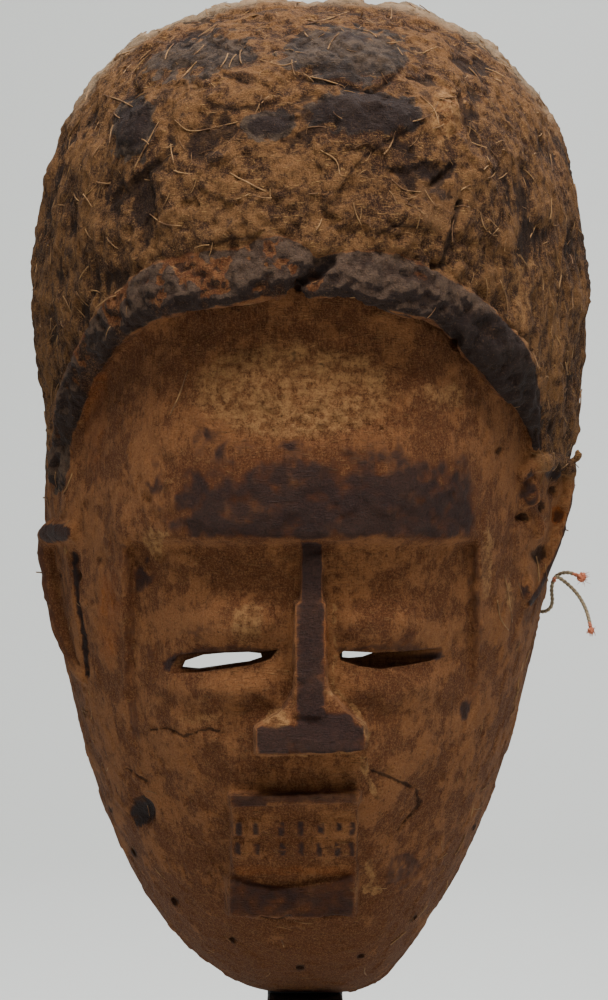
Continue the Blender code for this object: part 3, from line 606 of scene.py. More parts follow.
for name, outline, back in (
    ("left_peep", LEFT_PEEP, THROUGH),
    ("left_slit", LEFT_SLIT, float(front_depth(-0.034, 0.137)) - 0.009),
    ("right_peep", RIGHT_PEEP, THROUGH),
    ("right_slit", RIGHT_SLIT, float(front_depth(0.031, 0.137)) - 0.011),
):
    outline = outline[::-1]
    cutters.append(new_object(name, *slab(outline, [0.140] * len(outline), [back] * len(outline))))

DRILL_START, DRILL_END = 0.008, 0.032
RIM_HOLES = (  # dots across and down, and radius in millimetres
    (112, 810, 1.6), (134, 853, 1.7), (175, 901, 1.7), (233, 940, 1.5), (300, 967, 1.8), (361, 956, 1.4),
    (414, 917, 1.2), (474, 827, 1.3), (126, 70, 1.3), (84, 136, 1.4),
)
for across, down, radius in RIM_HOLES:
    hole_x, hole_height = (value / 1000 for value in seen((across, down))[0])
    entry = place(hole_x, float(front_depth(hole_x, hole_height)), hole_height)
    out = np.array([hole_x, 0.0, hole_height - JAW_DROP])
    inward = np.array([0.0, 0.8, 0.0]) - out / np.linalg.norm(out)
    inward /= np.linalg.norm(inward)
    drill = np.linspace(entry - inward * DRILL_START, entry + inward * DRILL_END, 3)
    width = [radius / 1000] * 3
    cutters.append(new_object("rim_hole", *swept(drill, width, width, np.tile([0.3, 0.1, 1.0], (3, 1)), 10)))

for cutter in cutters:
    flip = bmesh.new()
    flip.from_mesh(cutter.data)
    bmesh.ops.recalc_face_normals(flip, faces=flip.faces)
    flip.to_mesh(cutter.data)
    flip.free()
    cut = block.modifiers.new(cutter.name, "BOOLEAN")
    cut.operation = "DIFFERENCE"
    cut.solver = "MANIFOLD"
    cut.object = cutter
finish_mesh(block)
for cutter in cutters:
    bpy.data.objects.remove(cutter, do_unlink=True)
block.data.polygons.foreach_set("use_smooth", [True] * len(block.data.polygons))

# The crust and pigments: earth and orange ochre over the whole block, dark purple-black paint on
# the brow, nose, lips and teeth, and grey where the crust of the cap and hairline is rubbed smooth.
# Painted shade is laid into the colour as well: in the cracks, pits, rim holes, eye slits, the left
# ear's groove, the knot hole and the panel edges, under the hairline roll and towards the chin; and
# painted highlights lie on the top of the roll and on the wings of the nose's foot.
points, normals = corners(block)
here = survey(points)
x, height, depth = here["x"], here["height"], here["depth"]
coarse, fine, on_roll, cap = (here[name] for name in ("coarse", "fine", "on_roll", "cap"))
facing = ease(0.30, 0.70, -normals[:, 1])
rough = 0.5 * coarse + 0.5 * fine
FRONT_DOT = 0.00037  # the width of one dot on the front of the block


def patch(across, down, wide, tall, amount=1.0, soft=0.6, ragged=0.25):
    """A ragged oval of colour at a dot of the frame, its half sizes in dots."""
    middle_x, middle_height = seen((across, down))[0]
    wide, tall = FRONT_DOT * wide, FRONT_DOT * tall
    return amount * oval(x + ragged * wide * rough, height + ragged * tall * fine, middle_x / 1000,
                         middle_height / 1000, wide, tall, soft)


def band(width, *line, amount=1.0):
    """A line of colour through dots of the frame, its half width in millimetres."""
    return amount * (1 - ease(0.45 * width, width, to_line(x, height, seen(*line)) + 0.3 * width * rough))


def all_of(*masks):
    """The strongest of the masks at each point."""
    return np.maximum.reduce(masks)


brow_top = 219 + 12 * coarse + 5 * fine - 0.0011 * (1000 * x - 4) ** 2
brow = box(x + 0.003 * rough, height + 0.001 * fine, -60, 60.6, 182.6, 260, 2.8)
brow *= 1 - ease(-20, 12, 1000 * height - brow_top)
brow *= ease(-64, -40, 1000 * x + 14 * rough) * (0.84 + 0.4 * fine)
nose_bar = box(x, height, -5.2, 5.2, 112, 159, 0.9) + box(x, height, -3.4, 4.3, 158, 184, 0.8)
nose_foot_paint = box(x, height, -19.8, 19.8, 104.0, 114.5, 0.9) + box(x, height, 4, 16, 113, 119, 2.0)
upper_lip = 0.7 * box(x, height, -29.6, -16, 82.8, 87.6, 0.8)
upper_lip += 0.60 * box(x, height, -16, 17.7, 84.2, 88.6, 0.9)
lip_top = 51.4 + 0.011 * (1000 * x + 7) ** 2
lower_lip = (0.60 + 0.3 * fine) * box(x, height, -30.5, 16.8, 39.0, 60, 0.8)
lower_lip *= 1 - ease(-0.8, 0.8, 1000 * height - lip_top + 0.6 * fine)
TOOTH_WEAR = (1.0, 0.85, 0.95, 0.85, 0.85, 0.95, 0.9)
teeth = np.zeros_like(x)
for tooth_height, columns in TEETH:
    for tooth, wear in zip(columns, TOOTH_WEAR):
        square = box(x, height, tooth - 1.3, tooth + 1.3, tooth_height - 3.0, tooth_height + 3.0, 0.9)
        teeth = np.maximum(teeth, wear * square)
# Paint, with painted shade among it: the eye slits, the lids, the left ear's groove, the knot hole and the panel
# edges take the paint's colour as shade.
paint = all_of(
    brow,
    facing * np.clip(nose_bar + nose_foot_paint, 0, 1) * (0.92 + 0.3 * fine),
    upper_lip,
    lower_lip,
    teeth,
    # painted shade along the stepped side edges of the face panel
    band(3.4, (122, 548), (132, 600), (128, 660), (136, 740), amount=0.62) * ease(-0.7, 0.3, rough),
    band(4.4, (477, 470), (472, 560), (477, 650), (470, 705), amount=0.62) * ease(-0.6, 0.4, rough),
    patch(140, 577, 17, 19, 0.8, 0.7, 0.8),
    patch(465, 709, 9, 17, 0.9),
    # the jaw, and the knot in the wood of the left cheek, its hole darkened with painted shade
    patch(407, 872, 44, 34, 0.66, 0.8, 0.7),
    patch(120, 840, 20, 50, 0.35, 0.8, 0.6),
    patch(142, 811, 19, 21, 0.85, 0.5, 0.8),
    # painted shade along the upper edges of the eye slits and in their outer ends
    band(1.9, (176, 656), (200, 650), (232, 648), (268, 650), amount=0.62),
    band(1.9, (338, 649), (380, 647), (440, 650), amount=0.62),
    patch(170, 664, 15, 10, 1.0, 0.6, 0.5),
    patch(438, 655, 14, 8, 0.9, 0.6, 0.5),
    # the left ear, then the right one
    patch(57, 533, 24, 12, 0.95, 0.3),
    # painted shade in the groove between the left ear and the cheek
    band(1.8, (74, 552), (76.5, 576), (77, 602), (82, 626), (85, 650), (88, 676), amount=0.8),
    band(1.6, (46, 548), (50, 580), (56, 610), (64, 640), (76, 668), amount=0.5),
    patch(530, 490, 15, 20, 0.8, 0.6, 0.9),
    patch(553, 474, 14, 11, 0.8, 0.6, 0.9),
    band(2.0, (575, 468), (572, 490), (567, 513), (560, 537), (551, 560), (542, 582), (531, 602)),
    patch(525, 587, 9, 17, 0.75, 0.6, 0.8),
    # painted shade on the lids, and at the outer end of the left slit
    patch(150, 655, 8, 14, 0.5),
    patch(205, 634, 44, 13, 0.52, 0.8, 0.8),
    patch(405, 638, 40, 12, 0.52, 0.8, 0.8),
)
grey = all_of(
    0.9 * on_roll * ease(-0.45, 0.20, coarse + 0.6 * fine + 0.5 * ease(-0.02, 0.03, x)),
    patch(345, 52, 78, 42, 1.0, 0.35, 0.4),
    patch(200, 55, 74, 34, 0.8, 0.4, 0.5),
    patch(365, 112, 74, 30, 0.9, 0.35, 0.4),
    patch(133, 125, 30, 44, 0.9, 0.4, 0.4),
    patch(268, 125, 34, 20, 0.9, 0.4),
    patch(440, 200, 40, 60, 0.45, 0.5, 0.6),
)
purple_and_shade = all_of(
    patch(365, 112, 70, 27, 0.8, 0.4),
    patch(133, 125, 28, 40, 0.7),
    patch(268, 125, 30, 15, 0.9),
    patch(214, 157, 14, 9, 0.9),
    band(3.0, (556, 140), (575, 184), (581, 212), (585, 250), (588, 287), amount=0.7),
    on_roll * box(x, height, 50, 95, 205, 266, 8),
    # painted shade on the underside of the hairline roll
    0.75 * on_roll * ease(0.0, 0.5, -normals[:, 2] + 0.15),
    cap * ease(0.2, 0.9, coarse) * (1 - here["sides"]) * 0.7,
)
tan = all_of(
    0.62 * here["tan"],
    patch(440, 395, 50, 26, 0.6),
    patch(248, 622, 26, 34, 0.75),
    patch(448, 110, 24, 42, 0.8, 0.6, 0.5),
    patch(520, 300, 30, 90, 0.6, 0.8, 0.8),
    # painted highlights on the upper faces of the nose foot's two wings
    patch(278, 717, 17, 13, 0.9, 0.4),
    band(1.3, (324, 689), (340, 693), (354, 707), (363, 723), (369, 738)),
    band(1.2, (334, 604), (335, 650), (334, 690), amount=0.8),
    band(1.5, (362, 758), (368, 778), (376, 797), amount=1.3),
    band(1.8, (368, 862), (372, 878), amount=1.3),
    band(2.3, (366, 888), (378, 890), amount=1.3),
    patch(354, 888, 9, 6, 0.9, 0.5, 0.8),
    band(1.4, (262, 754), (320, 755), (362, 750), amount=0.6),
    # painted highlight on the upper faces of the hairline roll
    0.8 * on_roll * ease(0.45, 0.85, normals[:, 2]),
    patch(155, 545, 24, 30, 0.7, 0.6, 0.6),
    patch(487, 560, 12, 80, 0.6),
    patch(510, 597, 9, 22, 0.8),
    patch(203, 720, 50, 22, 0.5, 0.8, 0.6),
    patch(412, 720, 44, 22, 0.4, 0.8, 0.6),
    patch(536, 430, 3.5, 4, 1.0),
    patch(65, 550, 5, 7, 1.0),
    patch(54, 606, 4, 5, 1.0),
    patch(168, 482, 6, 5, 1.0),
)
orange = all_of(
    patch(95, 420, 26, 110, 0.5, 0.7),
    patch(325, 645, 9, 50, 0.5),
    patch(110, 620, 22, 80, 0.5),
    patch(556, 515, 14, 16, 0.8),
    patch(330, 620, 90, 14, 0.25),
    box(x, height, -29, 17, 55, 60, 1.0) * 0.45,
)
# Painted shade: darkened discs round the rim holes, joined to the darkening of the cracks, pits, step edges and
# low spots of the relief.
rim_hole_shade = all_of(*(
    patch(across, down, 3.4 * radius, 3.6 * radius, 1.0, 0.4) for across, down, radius in RIM_HOLES
))
recess_shade = np.clip(here["crevice_shade"] + rim_hole_shade + ease(0.2, 0.9, -here["relief"] * 1000 - 0.4), 0, 1)
inside = ease(0.003, 0.010, dome(x, height) - FACE_RECESS - BROW_STEP - depth)
inside *= ease(-0.3, 0.3, normals[:, 1])
from_middle = share_out(x, height)[0]
dust = ease(0.93, 1.0, from_middle) * ease(0.33, 0.37, height) * ease(0.05, 0.6, normals[:, 2])
# Wear from the noise, lowered towards the chin as painted shade, so the chin comes out darker.
wear_and_chin_shade = 0.5 + 0.3 * fine + 0.5 * coarse - 0.4 * (1 - ease(0.02, 0.075, height))
straw_share = np.clip(0.85 * cap * (1 - 0.6 * grey) + 0.10 * on_roll + 0.10 * tan, 0, 1) * (1 - inside)
straw_share += 0.30 * ease(0.82, 0.92, from_middle) * (1 - ease(0.20, 0.25, height)) * (depth > 0.004)
for name, mask in (
    ("paint", paint), ("grey", grey), ("purple_and_shade", purple_and_shade), ("tan", tan), ("orange", orange), ("cap", cap),
    ("inside", inside), ("dust", dust), ("recess_shade", recess_shade), ("worn", wear_and_chin_shade),
    ("straw_share", straw_share * ease(0.004, 0.010, depth)),
):
    layer = block.data.attributes.new(name, "FLOAT", "POINT")
    layer.data.foreach_set("value", np.clip(mask, 0, 1).astype(np.float32))


def colour(red, green, blue):
    """A colour read on a scale to 255, as the shader wants it."""
    return (*[(part / 255) ** 2.2 for part in (red, green, blue)], 1.0)


class Flow:
    """One output in a material's nodes. Sums on it add Math nodes, and node() adds any other."""

    def __init__(self, tree, socket=None):
        self.tree, self.socket = tree, socket

    def node(self, kind, settings, sockets, output=0):
        made = self.tree.nodes.new(f"ShaderNode{kind}")
        for name, value in settings.items():
            setattr(made, name, value)
        for name, value in sockets.items():
            if isinstance(value, Flow):
                self.tree.links.new(value.socket, made.inputs[name])
            else:
                made.inputs[name].default_value = value
        return Flow(self.tree, made.outputs[output])

    def sum(self, operation, one, other):
        return self.node("Math", {"operation": operation}, {0: one, 1: other})

    def __add__(self, other):
        return self.sum("ADD", self, other)

    def __sub__(self, other):
        return self.sum("SUBTRACT", self, other)

    def __rsub__(self, other):
        return self.sum("SUBTRACT", other, self)

    def __mul__(self, other):
        return self.sum("MULTIPLY", self, other)

    __radd__, __rmul__ = __add__, __mul__

    def steep(self, low, high):
        """0 below low and 1 above high."""
        settings = {"interpolation_type": "SMOOTHSTEP"}
        return self.node("MapRange", settings, {"Value": self, "From Min": low, "From Max": high})

    def mixed(self, one, other):
        """From one colour to the other by this share."""
        return self.node("Mix", {"data_type": "RGBA"}, {0: self, 6: one, 7: other}, 2)

    def cloud(self, scale, detail=6.0, roughness=0.6, distortion=0.0):
        """Cloudy noise at these coordinates."""
        sockets = {"Vector": self, "Scale": scale, "Detail": detail, "Roughness": roughness}
        return self.node("TexNoise", {}, {**sockets, "Distortion": distortion})

    def stretched(self, turn, size):
        """These coordinates turned, and drawn out by each share."""
        return self.node("Mapping", {}, {"Vector": self, "Rotation": turn, "Scale": size})

    def mask(self, name):
        return self.node("Attribute", {"attribute_name": name}, {}, 2)


def new_finish(name):
    """An empty material, its shader, and the object's own coordinates."""
    made = bpy.data.materials.new(name)
    made.use_nodes = True
    return made, made.node_tree.nodes["Principled BSDF"], Flow(made.node_tree).node("TexCoord", {}, {}, 3)


def feed(shader, **sockets):
    for name, value in sockets.items():
        socket = shader.inputs[name.replace("_", " ")]
        if isinstance(value, Flow):
            value.tree.links.new(value.socket, socket)
        else:
            socket.default_value = value


crusted, shader, spot = new_finish("crusted_wood")
big, middling, small = spot.cloud(45.0), spot.cloud(300.0, 8.0, 0.68), spot.cloud(1500.0, 4.0, 0.7)
tiny = spot.cloud(3200.0, 3.0, 0.7)
grain = spot.stretched((0.0, 0.0, 0.0), (1500.0, 1500.0, 260.0)).cloud(1.0, 4.0, 0.65, 0.3)
straws = [
    spot.stretched((0.0, turn, 0.3), (along, 1600.0, 1600.0)).cloud(1.0, 2.0, 0.5, 0.4).steep(0.61, 0.70)
    for turn, along in ((0.4, 190.0), (-0.8, 170.0), (1.5, 150.0))
]
straw = straws[0] + straws[1] + straws[2]
# worn is the wear mask, with the painted shade towards the chin in it
cap, worn = spot.mask("cap"), spot.mask("worn")
ragged = 0.34 * (middling - 0.5) + 0.30 * (small - 0.5) + 0.15 * (big - 0.5)
speck = 0.5 * small + 0.3 * tiny + 0.2 * grain
streaks = spot.stretched((0.0, 0.0, 0.0), (420.0, 420.0, 60.0)).cloud(1.0, 5.0, 0.65, 0.6)
flaky = (0.5 * middling + 0.5 * streaks + 0.5 * worn - 0.25).steep(0.40, 0.62)
ochre = flaky.mixed(colour(86, 49, 25), colour(122, 78, 46))
earth = (middling + 0.4 * worn - 0.2).steep(0.38, 0.62).mixed(colour(50, 29, 15), colour(104, 71, 42))
base = (cap + ragged).steep(0.35, 0.65).mixed(ochre, earth)
base = (spot.mask("orange") * (0.5 + big)).steep(0.25, 0.85).mixed(base, colour(128, 68, 26))
light_tan = middling.steep(0.38, 0.60).mixed(colour(98, 62, 34), colour(142, 102, 64))
# the tan mask holds painted highlights as well: on the top of the hairline roll and on the wings of the nose's
# foot
base = (spot.mask("tan") + ragged).steep(0.42, 0.68).mixed(base, light_tan)
base = (straw * (0.30 + 0.45 * cap) * middling.steep(0.40, 0.58)).mixed(base, colour(152, 114, 70))
smooth_grey = (middling + 0.5 * worn - 0.25).steep(0.35, 0.66).mixed(colour(36, 28, 23), colour(71, 60, 51))
base = (0.85 * (spot.mask("grey") + ragged).steep(0.42, 0.62)).mixed(base, smooth_grey)
# purple-black patches of the crust, with the painted shade under the hairline roll
base = (0.85 * (spot.mask("purple_and_shade") + ragged).steep(0.40, 0.62)).mixed(base, colour(38, 25, 21))
# the paint's purple-black, which is also the colour of the painted shade in the paint mask
dark_paint_and_shade = small.steep(0.35, 0.70).mixed(colour(25, 13, 11), colour(54, 32, 27))
# painted is the share of the paint mask, so it holds painted shade as well as paint
painted = (spot.mask("paint") + 1.3 * ragged).steep(0.26, 0.88)
base = (0.92 * painted).mixed(base, dark_paint_and_shade)
base = (spot.mask("dust") * (0.4 + middling) * 0.65).mixed(base, colour(172, 150, 122))
bright_specks = (speck * (1.25 - 0.35 * painted - 0.15 * spot.mask("grey"))).steep(0.60, 0.72)
base = (bright_specks * 0.35).mixed(base, colour(150, 110, 72))
base = (0.6 * (0.50 - speck).steep(0.02, 0.12)).mixed(base, colour(30, 16, 8))
# painted shade in the cracks, pits, rim holes and low spots of the relief
base = (0.7 * (spot.mask("recess_shade") + 1.2 * ragged).steep(0.30, 0.90)).mixed(base, colour(26, 14, 9))
bare = grain.steep(0.35, 0.65).mixed(colour(62, 40, 26), colour(98, 68, 44))
base = (spot.mask("inside") + ragged).steep(0.4, 0.6).mixed(base, bare)
relief = 0.50 * middling + 0.34 * small + 0.16 * tiny + 0.22 * straw + 0.12 * flaky - 0.15 * painted
bumped = spot.node("Bump", {}, {"Height": relief, "Strength": 1.0, "Distance": 0.0020})
feed(shader, Base_Color=base, Roughness=0.93 - 0.20 * painted - 0.12 * spot.mask("grey"), Normal=bumped,
     Specular_IOR_Level=0.25)
block.data.materials.clear()
block.data.materials.append(crusted)
block.data.polygons.foreach_set("material_index", [0] * len(block.data.polygons))
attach(block, "root")
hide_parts("mask")

# Straw: chopped plant stems mixed into the earth of the crust. They lie flat on the cap, half sunk
# in it, with shorter loose fibres among them that stand off it.
STRAWS_TO_A_SQUARE_METRE = 9000.0
STRAW_LENGTH = 0.0075
STRAW_THICKNESS = 0.00042
straw_colour, shader, spot = new_finish("straw")
pale = spot.cloud(160.0, 3.0, 0.6)
stem = spot.cloud(2400.0, 3.0, 0.7)
straw_base = pale.steep(0.34, 0.66).mixed(colour(84, 54, 28), colour(150, 112, 70))
straw_base = (0.6 * (stem - 0.1).steep(0.35, 0.60)).mixed(straw_base, colour(78, 54, 34))
feed(shader, Base_Color=straw_base, Roughness=0.72 + 0.2 * stem)
feed(shader, Normal=spot.node("Bump", {}, {"Height": stem, "Strength": 0.5, "Distance": 0.0003}))

tree = bpy.data.node_groups.new("straws", "GeometryNodeTree")
tree.interface.new_socket("Geometry", in_out="INPUT", socket_type="NodeSocketGeometry")
tree.interface.new_socket("Geometry", in_out="OUTPUT", socket_type="NodeSocketGeometry")
named = {}
for name, kind in (
    ("Density", "Float"), ("Length", "Float"), ("Thickness", "Float"), ("Tilt", "Float"), ("Seed", "Int"),
):
    named[name] = tree.interface.new_socket(name, in_out="INPUT", socket_type=f"NodeSocket{kind}").identifier


def geo(kind, settings=None, **sockets):
    """A node of the straws' tree. A socket's name has _ for a space, or is its number after an s."""
    made = tree.nodes.new(kind)
    for name, value in (settings or {}).items():
        setattr(made, name, value)
    for name, value in sockets.items():
        socket = made.inputs[int(name[1:])] if name[1:].isdigit() else made.inputs[name.replace("_", " ")]
        if isinstance(value, bpy.types.NodeSocket):
            tree.links.new(value, socket)
        else:
            socket.default_value = value
    return made


given = geo("NodeGroupInput").outputs
share = geo("GeometryNodeInputNamedAttribute", {"data_type": "FLOAT"}, s0="straw_share").outputs[0]
density = geo("ShaderNodeMath", {"operation": "MULTIPLY"}, s0=share, s1=given["Density"]).outputs[0]
spread = geo(
    "GeometryNodeDistributePointsOnFaces", Mesh=given["Geometry"], Density=density, Seed=given["Seed"],
)
random_tilt = geo(
    "FunctionNodeRandomValue", {"data_type": "FLOAT_VECTOR"}, s0=(-1.0, -1.0, -3.14159),
    s1=(1.0, 1.0, 3.14159), Seed=given["Seed"],
).outputs[0]
tilt_size = geo("ShaderNodeCombineXYZ", X=given["Tilt"], Y=given["Tilt"], Z=1.0).outputs[0]
tilt = geo("ShaderNodeVectorMath", {"operation": "MULTIPLY"}, s0=random_tilt, s1=tilt_size).outputs[0]
turned = geo(
    "FunctionNodeRotateRotation", {"rotation_space": "LOCAL"}, Rotation=spread.outputs["Rotation"], s1=tilt,
)
arc = geo(
    "GeometryNodeCurveQuadraticBezier", Resolution=4, Start=(-0.5, 0.0, 0.0), Middle=(0.05, 0.13, 0.05),
    End=(0.5, 0.0, 0.0),
)
size = geo("ShaderNodeCombineXYZ", X=given["Length"], Y=given["Length"], Z=given["Length"]).outputs[0]
stem_line = geo("GeometryNodeTransform", Geometry=arc.outputs[0], Scale=size).outputs[0]
half = geo("ShaderNodeMath", {"operation": "MULTIPLY"}, s0=given["Thickness"], s1=0.5).outputs[0]
ring = geo("GeometryNodeCurvePrimitiveCircle", Resolution=4, Radius=half).outputs[0]
one_straw = geo("GeometryNodeCurveToMesh", Curve=stem_line, Profile_Curve=ring, Fill_Caps=True).outputs[0]
random_size = geo("FunctionNodeRandomValue", {"data_type": "FLOAT"}, s2=0.35, s3=1.35, Seed=7).outputs[1]
laid = geo(
    "GeometryNodeInstanceOnPoints", Points=spread.outputs["Points"], Instance=one_straw,
    Rotation=turned.outputs[0], Scale=random_size,
).outputs[0]
real = geo("GeometryNodeRealizeInstances", Geometry=laid).outputs[0]
coloured = geo("GeometryNodeSetMaterial", Geometry=real, Material=straw_colour).outputs[0]
tree.links.new(coloured, geo("NodeGroupOutput").inputs[0])

for name, density, length, tilt, seed in (
    ("straws", STRAWS_TO_A_SQUARE_METRE, STRAW_LENGTH, 0.10, 11),
    ("loose_fibres", 0.30 * STRAWS_TO_A_SQUARE_METRE, 0.5 * STRAW_LENGTH, 0.5, 5),
):
    strewn = bpy.data.objects.new(name, block.data.copy())
    bpy.context.scene.collection.objects.link(strewn)
    laying = strewn.modifiers.new("straws", "NODES")
    laying.node_group = tree
    thickness = STRAW_THICKNESS * (1.0 if name == "straws" else 0.55)
    for label, value in (
        ("Density", density), ("Length", length), ("Thickness", thickness), ("Tilt", tilt), ("Seed", seed),
    ):
        laying[named[label]] = value
    finish_mesh(strewn)
    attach(strewn, "root")
    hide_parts("mask")

# The longest straws, whole stems of the same plant. They lie where they were pressed into the wet
# crust of the cap and the sides, and follow its surface.
LONG_STRAWS = (  # half thickness in millimetres, and the line in dots
    (0.30, (159, 122), (146, 146), (134, 170)), (0.30, (197, 62), (186, 74), (175, 85)),
    (0.26, (171, 144), (172, 154), (174, 164)), (0.34, (230, 173), (248, 183), (266, 192)),
    (0.28, (104, 95), (119, 100), (133, 107)), (0.28, (303, 25), (326, 20), (349, 12)),
    (0.26, (307, 76), (325, 80), (343, 86)), (0.24, (175, 120), (190, 131), (214, 128), (238, 122)),
    (0.30, (188, 370), (180, 394), (170, 416)), (0.26, (480, 212), (482, 222), (486, 230)),
    (0.26, (504, 574), (508, 596), (512, 622)), (0.24, (497, 600), (500, 618), (508, 630)),
    (0.24, (420, 96), (434, 110), (440, 130)), (0.24, (260, 60), (282, 66), (296, 62)),
    (0.26, (392, 180), (404, 190), (420, 192)), (0.24, (320, 150), (336, 160), (340, 176)),
    (0.26, (150, 214), (164, 224), (182, 226)), (0.24, (500, 280), (506, 300), (508, 322)),
)
surface = BVHTree.FromPolygons(
    [v.co.copy() for v in block.data.vertices], [tuple(f.vertices) for f in block.data.polygons]
)
eye = Vector(place(EYE_X, EYE_FAR, EYE_UP).tolist())
stems, stem_faces = [], []
for half, *line in LONG_STRAWS:
    path = []
    for across, down in smooth_path(line, 5):
        x, height = framed(across, down, 0.0)
        hit, normal, _, _ = surface.ray_cast(eye, Vector(place(x, 0.0, height).tolist()) - eye)
        path.append(np.array(hit) + 0.0002 * np.array(normal))
    path = np.array(path)
    path[1:-1] = (path[:-2] + 2 * path[1:-1] + path[2:]) / 4
    girth = half / 1000 * (0.6 + 0.4 * np.sin(math.pi * np.linspace(0.08, 0.92, len(path))))
    points, faces = swept(path, girth, girth, np.tile([0.1, -1.0, 0.2], (len(path), 1)), 6)
    first = sum(len(part) for part in stems)
    stems.append(points)
    stem_faces += [[first + corner for corner in face] for face in faces]
long_straws = new_object("long_straws", np.concatenate(stems), stem_faces)
long_straws.data.polygons.foreach_set("use_smooth", [True] * len(stem_faces))
long_straws.data.materials.append(straw_colour)
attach(long_straws, "root")
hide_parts("mask")

# The twine: the remnant of a two-ply cord of plant fibre, tied through a rim hole below the right
# ear. Its two tails end in knots that have frayed to a reddish brush.
KNOT = 0.0021
TWINE_SIDES = 16
WISPS = 34
LOOP_ROUTE = (
    (0.0850, -0.0012, 0.1532), (0.0885, -0.0013, 0.1526), (0.0915, -0.0011, 0.1522), (0.0936, 0.0002, 0.1522),
    (0.0949, 0.0022, 0.1528), (0.0961, 0.0036, 0.1542), (0.0966, 0.0046, 0.1565), (0.0964, 0.0052, 0.1592),
    (0.0963, 0.0056, 0.1617), (0.0967, 0.0062, 0.1641), (0.0976, 0.0072, 0.1661), (0.0991, 0.0082, 0.1673),
    (0.1010, 0.0090, 0.1679), (0.1031, 0.0096, 0.1679), (0.1050, 0.0100, 0.1673), (0.1063, 0.0102, 0.1668),
)
TAIL_ROUTE = (
    (0.0966, 0.0144, 0.1648), (0.0969, 0.0124, 0.1658), (0.0979, 0.0107, 0.1663), (0.0996, 0.0098, 0.1655),
    (0.1021, 0.0097, 0.1636), (0.1047, 0.0102, 0.1611), (0.1069, 0.0113, 0.1582), (0.1086, 0.0130, 0.1550),
    (0.1097, 0.0150, 0.1518), (0.1103, 0.0172, 0.1489), (0.1106, 0.0194, 0.1466),
)
TURNS_TO_A_METRE = 290
fibre, shader, spot = new_finish("twine_fibre")
hair = spot.cloud(3800.0, 4.0, 0.7)
age = spot.cloud(500.0, 3.0, 0.6)
fibre_base = (hair + 0.4 * age - 0.2).steep(0.34, 0.66).mixed(colour(92, 78, 58), colour(158, 138, 106))
reddened = (spot.mask("red") + 0.5 * (age - 0.5)).steep(0.3, 0.7)
fibre_base = (0.9 * reddened).mixed(fibre_base, colour(176, 96, 66))
# painted shade in the groove between the two plies of the cord
fibre_base = (0.75 * spot.mask("groove")).mixed(fibre_base, colour(58, 44, 32))
feed(shader, Base_Color=fibre_base, Roughness=0.86 - 0.1 * hair)
feed(shader, Normal=spot.node("Bump", {}, {"Height": hair, "Strength": 0.7, "Distance": 0.0003}))


def marked(thing, **masks):
    """Puts numbers from 0 to 1 on a mesh's points, for its material."""
    for name, values in masks.items():
        layer = thing.data.attributes.new(name, "FLOAT", "POINT")
        layer.data.foreach_set("value", np.asarray(values, dtype=np.float32))
    thing.data.polygons.foreach_set("use_smooth", [True] * len(thing.data.polygons))
    thing.data.materials.append(fibre)


draw = np.random.default_rng(23)
for name, route, flare in (("twine_loop", LOOP_ROUTE, 1.0), ("twine_tail", TAIL_ROUTE, 0.7)):
    line = smooth_path([place(*spot) for spot in route], 9)
    run = np.concatenate([[0.0], np.cumsum(np.linalg.norm(np.diff(line, axis=0), axis=1))])
    turn = np.linspace(0, 2 * np.pi, TWINE_SIDES, endpoint=False)
    twist = turn[None, :] - 2 * math.pi * TURNS_TO_A_METRE * run[:, None]
    girth = 0.00058 + 0.00026 * np.cos(twist) ** 2
    outward = np.tile([0.2, -1.0, 0.3], (len(line), 1))
    twine = new_object(f"{name}_cord", *swept(line, girth, girth, outward, TWINE_SIDES))
    from_end = np.minimum(run, run[-1] - run)
    red = np.repeat(1 - ease(0.0005, 0.0040, from_end), TWINE_SIDES)
    marked(twine, red=red, groove=(1 - ease(0.0, 0.35, np.cos(twist) ** 2)).reshape(-1))
    ahead = (line[-1] - line[-4]) / np.linalg.norm(line[-1] - line[-4])
    middle = line[-1] + ahead * 0.8 * KNOT
    ball = bmesh.new()
    bmesh.ops.create_icosphere(ball, subdivisions=4, radius=1.0)
    shape = np.array([list(v.co) for v in ball.verts])
    faces = [[v.index for v in f.verts] for f in ball.faces]
    ball.free()
    shape *= (0.86 * KNOT * flare * (1 + 0.34 * lumps(shape, 0.55, 3)))[:, None]
    parts, count = [middle + shape], len(shape)
    for _ in range(WISPS):
        away = draw.normal(size=3)
        away = away / np.linalg.norm(away) + 0.9 * ahead
        away /= np.linalg.norm(away)
        reach = KNOT * flare * draw.uniform(1.0, 1.75)
        bend = 0.25 * KNOT * draw.normal(size=3)
        wisp = smooth_path([middle, middle + 0.6 * reach * away, middle + reach * away + bend], 3)
        taper = np.linspace(0.00016, 0.00005, len(wisp))
        points, more = swept(wisp, taper, taper, np.tile(np.cross(away, (0.3, 0.5, 0.8)), (len(wisp), 1)), 5)
        faces += [[count + corner for corner in face] for face in more]
        parts.append(points)
        count += len(points)
    fray = new_object(f"{name}_fray", np.concatenate(parts), faces)
    marked(fray, red=np.ones(count), groove=np.zeros(count))
    for piece, node in ((twine, name), (fray, f"{name}_knot")):
        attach(piece, "root")
        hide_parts(node)

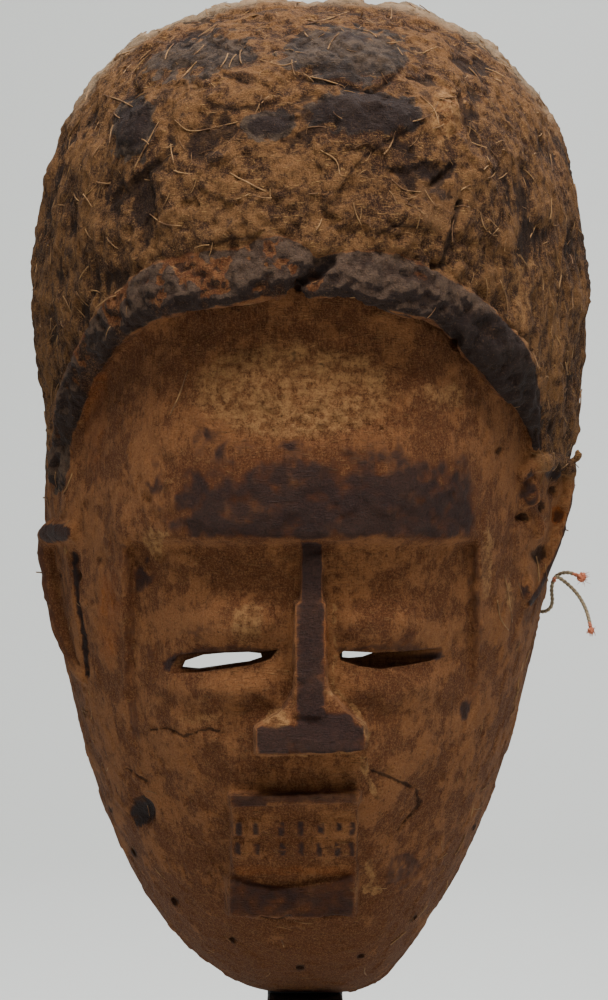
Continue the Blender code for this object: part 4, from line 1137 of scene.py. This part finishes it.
# The stand: a black painted foot, post, ledge and arm, and a round felt pad inside the cap. They
# are the CAD's own parts, in their own paint and felt.
satin, shader, spot = new_finish("black_paint")
brushed = spot.stretched((0.0, 0.0, 0.0), (900.0, 900.0, 60.0)).cloud(1.0, 4.0, 0.6)
rubbed = spot.cloud(38.0, 5.0, 0.6)
feed(shader, Base_Color=(0.6 * rubbed.steep(0.45, 0.75)).mixed(colour(16, 16, 17), colour(34, 33, 32)))
feed(shader, Roughness=0.38 + 0.25 * rubbed)
feed(shader, Normal=spot.node("Bump", {}, {"Height": brushed, "Strength": 0.25, "Distance": 0.0003}))
felt, shader, spot = new_finish("black_felt")
nap = spot.cloud(2600.0, 5.0, 0.75, 0.6)
feed(shader, Base_Color=nap.steep(0.3, 0.7).mixed(colour(14, 14, 15), colour(44, 43, 42)), Roughness=0.97)
feed(shader, Normal=spot.node("Bump", {}, {"Height": nap, "Strength": 0.9, "Distance": 0.0006}))
for name, coat in (
    ("stand_base", satin), ("stand_post", satin), ("stand_ledge", satin), ("stand_arm", satin),
    ("stand_pad", felt),
):
    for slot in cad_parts[name].material_slots:
        slot.material = coat

# The room: a pale sweep of paper under and behind the stand, with soft light from above and in
# front, and the camera level with the middle of the mask.
bend = np.linspace(0, math.pi / 2, 24)
corner = [(1.6 + 1.0 * math.sin(turn), 1.0 - 1.0 * math.cos(turn)) for turn in bend]
profile = [(-3.0, 0.0), *corner, (2.6, 5.0)]
sweep_points = [(side, y, z) for side in (-5.0, 5.0) for y, z in profile]
sweep_faces = [[len(profile) + i, len(profile) + i + 1, i + 1, i] for i in range(len(profile) - 1)]
sweep = new_object("sweep", sweep_points, sweep_faces)
sweep.data.polygons.foreach_set("use_smooth", [True] * len(sweep_faces))
paper, shader, spot = new_finish("paper")
fleck = spot.cloud(900.0, 3.0, 0.6)
paper_base = fleck.steep(0.2, 0.8).mixed(colour(204, 206, 203), colour(208, 210, 207))
feed(shader, Base_Color=paper_base, Roughness=0.9)
feed(shader, Normal=spot.node("Bump", {}, {"Height": fleck, "Strength": 0.05, "Distance": 0.0002}))
sweep.data.materials.append(paper)

lens = bpy.data.cameras.new("camera")
lens.sensor_fit = "VERTICAL"
lens.sensor_height = 24.0
lens.lens = 84.0
camera = bpy.data.objects.new("camera", lens)
camera.location = eye
camera.rotation_euler = (math.radians(90), 0, 0)
bpy.context.scene.collection.objects.link(camera)
bpy.context.scene.camera = camera

for name, where, target, size, power in (
    ("top_light", (0.10, -0.66, 1.75), (0, 0, 0.3), 0.9, 55),
    ("fill_light", (0.3, -2.3, 0.6), (0, 0, 0.3), 1.5, 6),
    ("back_light", (0.45, 0.9, 2.3), (0.1, 1.9, 0.7), 1.4, 62),
):
    lamp = bpy.data.lights.new(name, "AREA")
    lamp.size = size
    lamp.energy = power
    made = bpy.data.objects.new(name, lamp)
    made.location = where
    made.rotation_euler = (Vector(target) - Vector(where)).to_track_quat("-Z", "Y").to_euler()
    bpy.context.scene.collection.objects.link(made)
room = bpy.data.worlds.new("room")
room.use_nodes = True
room.node_tree.nodes["Background"].inputs["Color"].default_value = (0.8, 0.81, 0.8, 1)
room.node_tree.nodes["Background"].inputs["Strength"].default_value = 0.22
bpy.context.scene.world = room
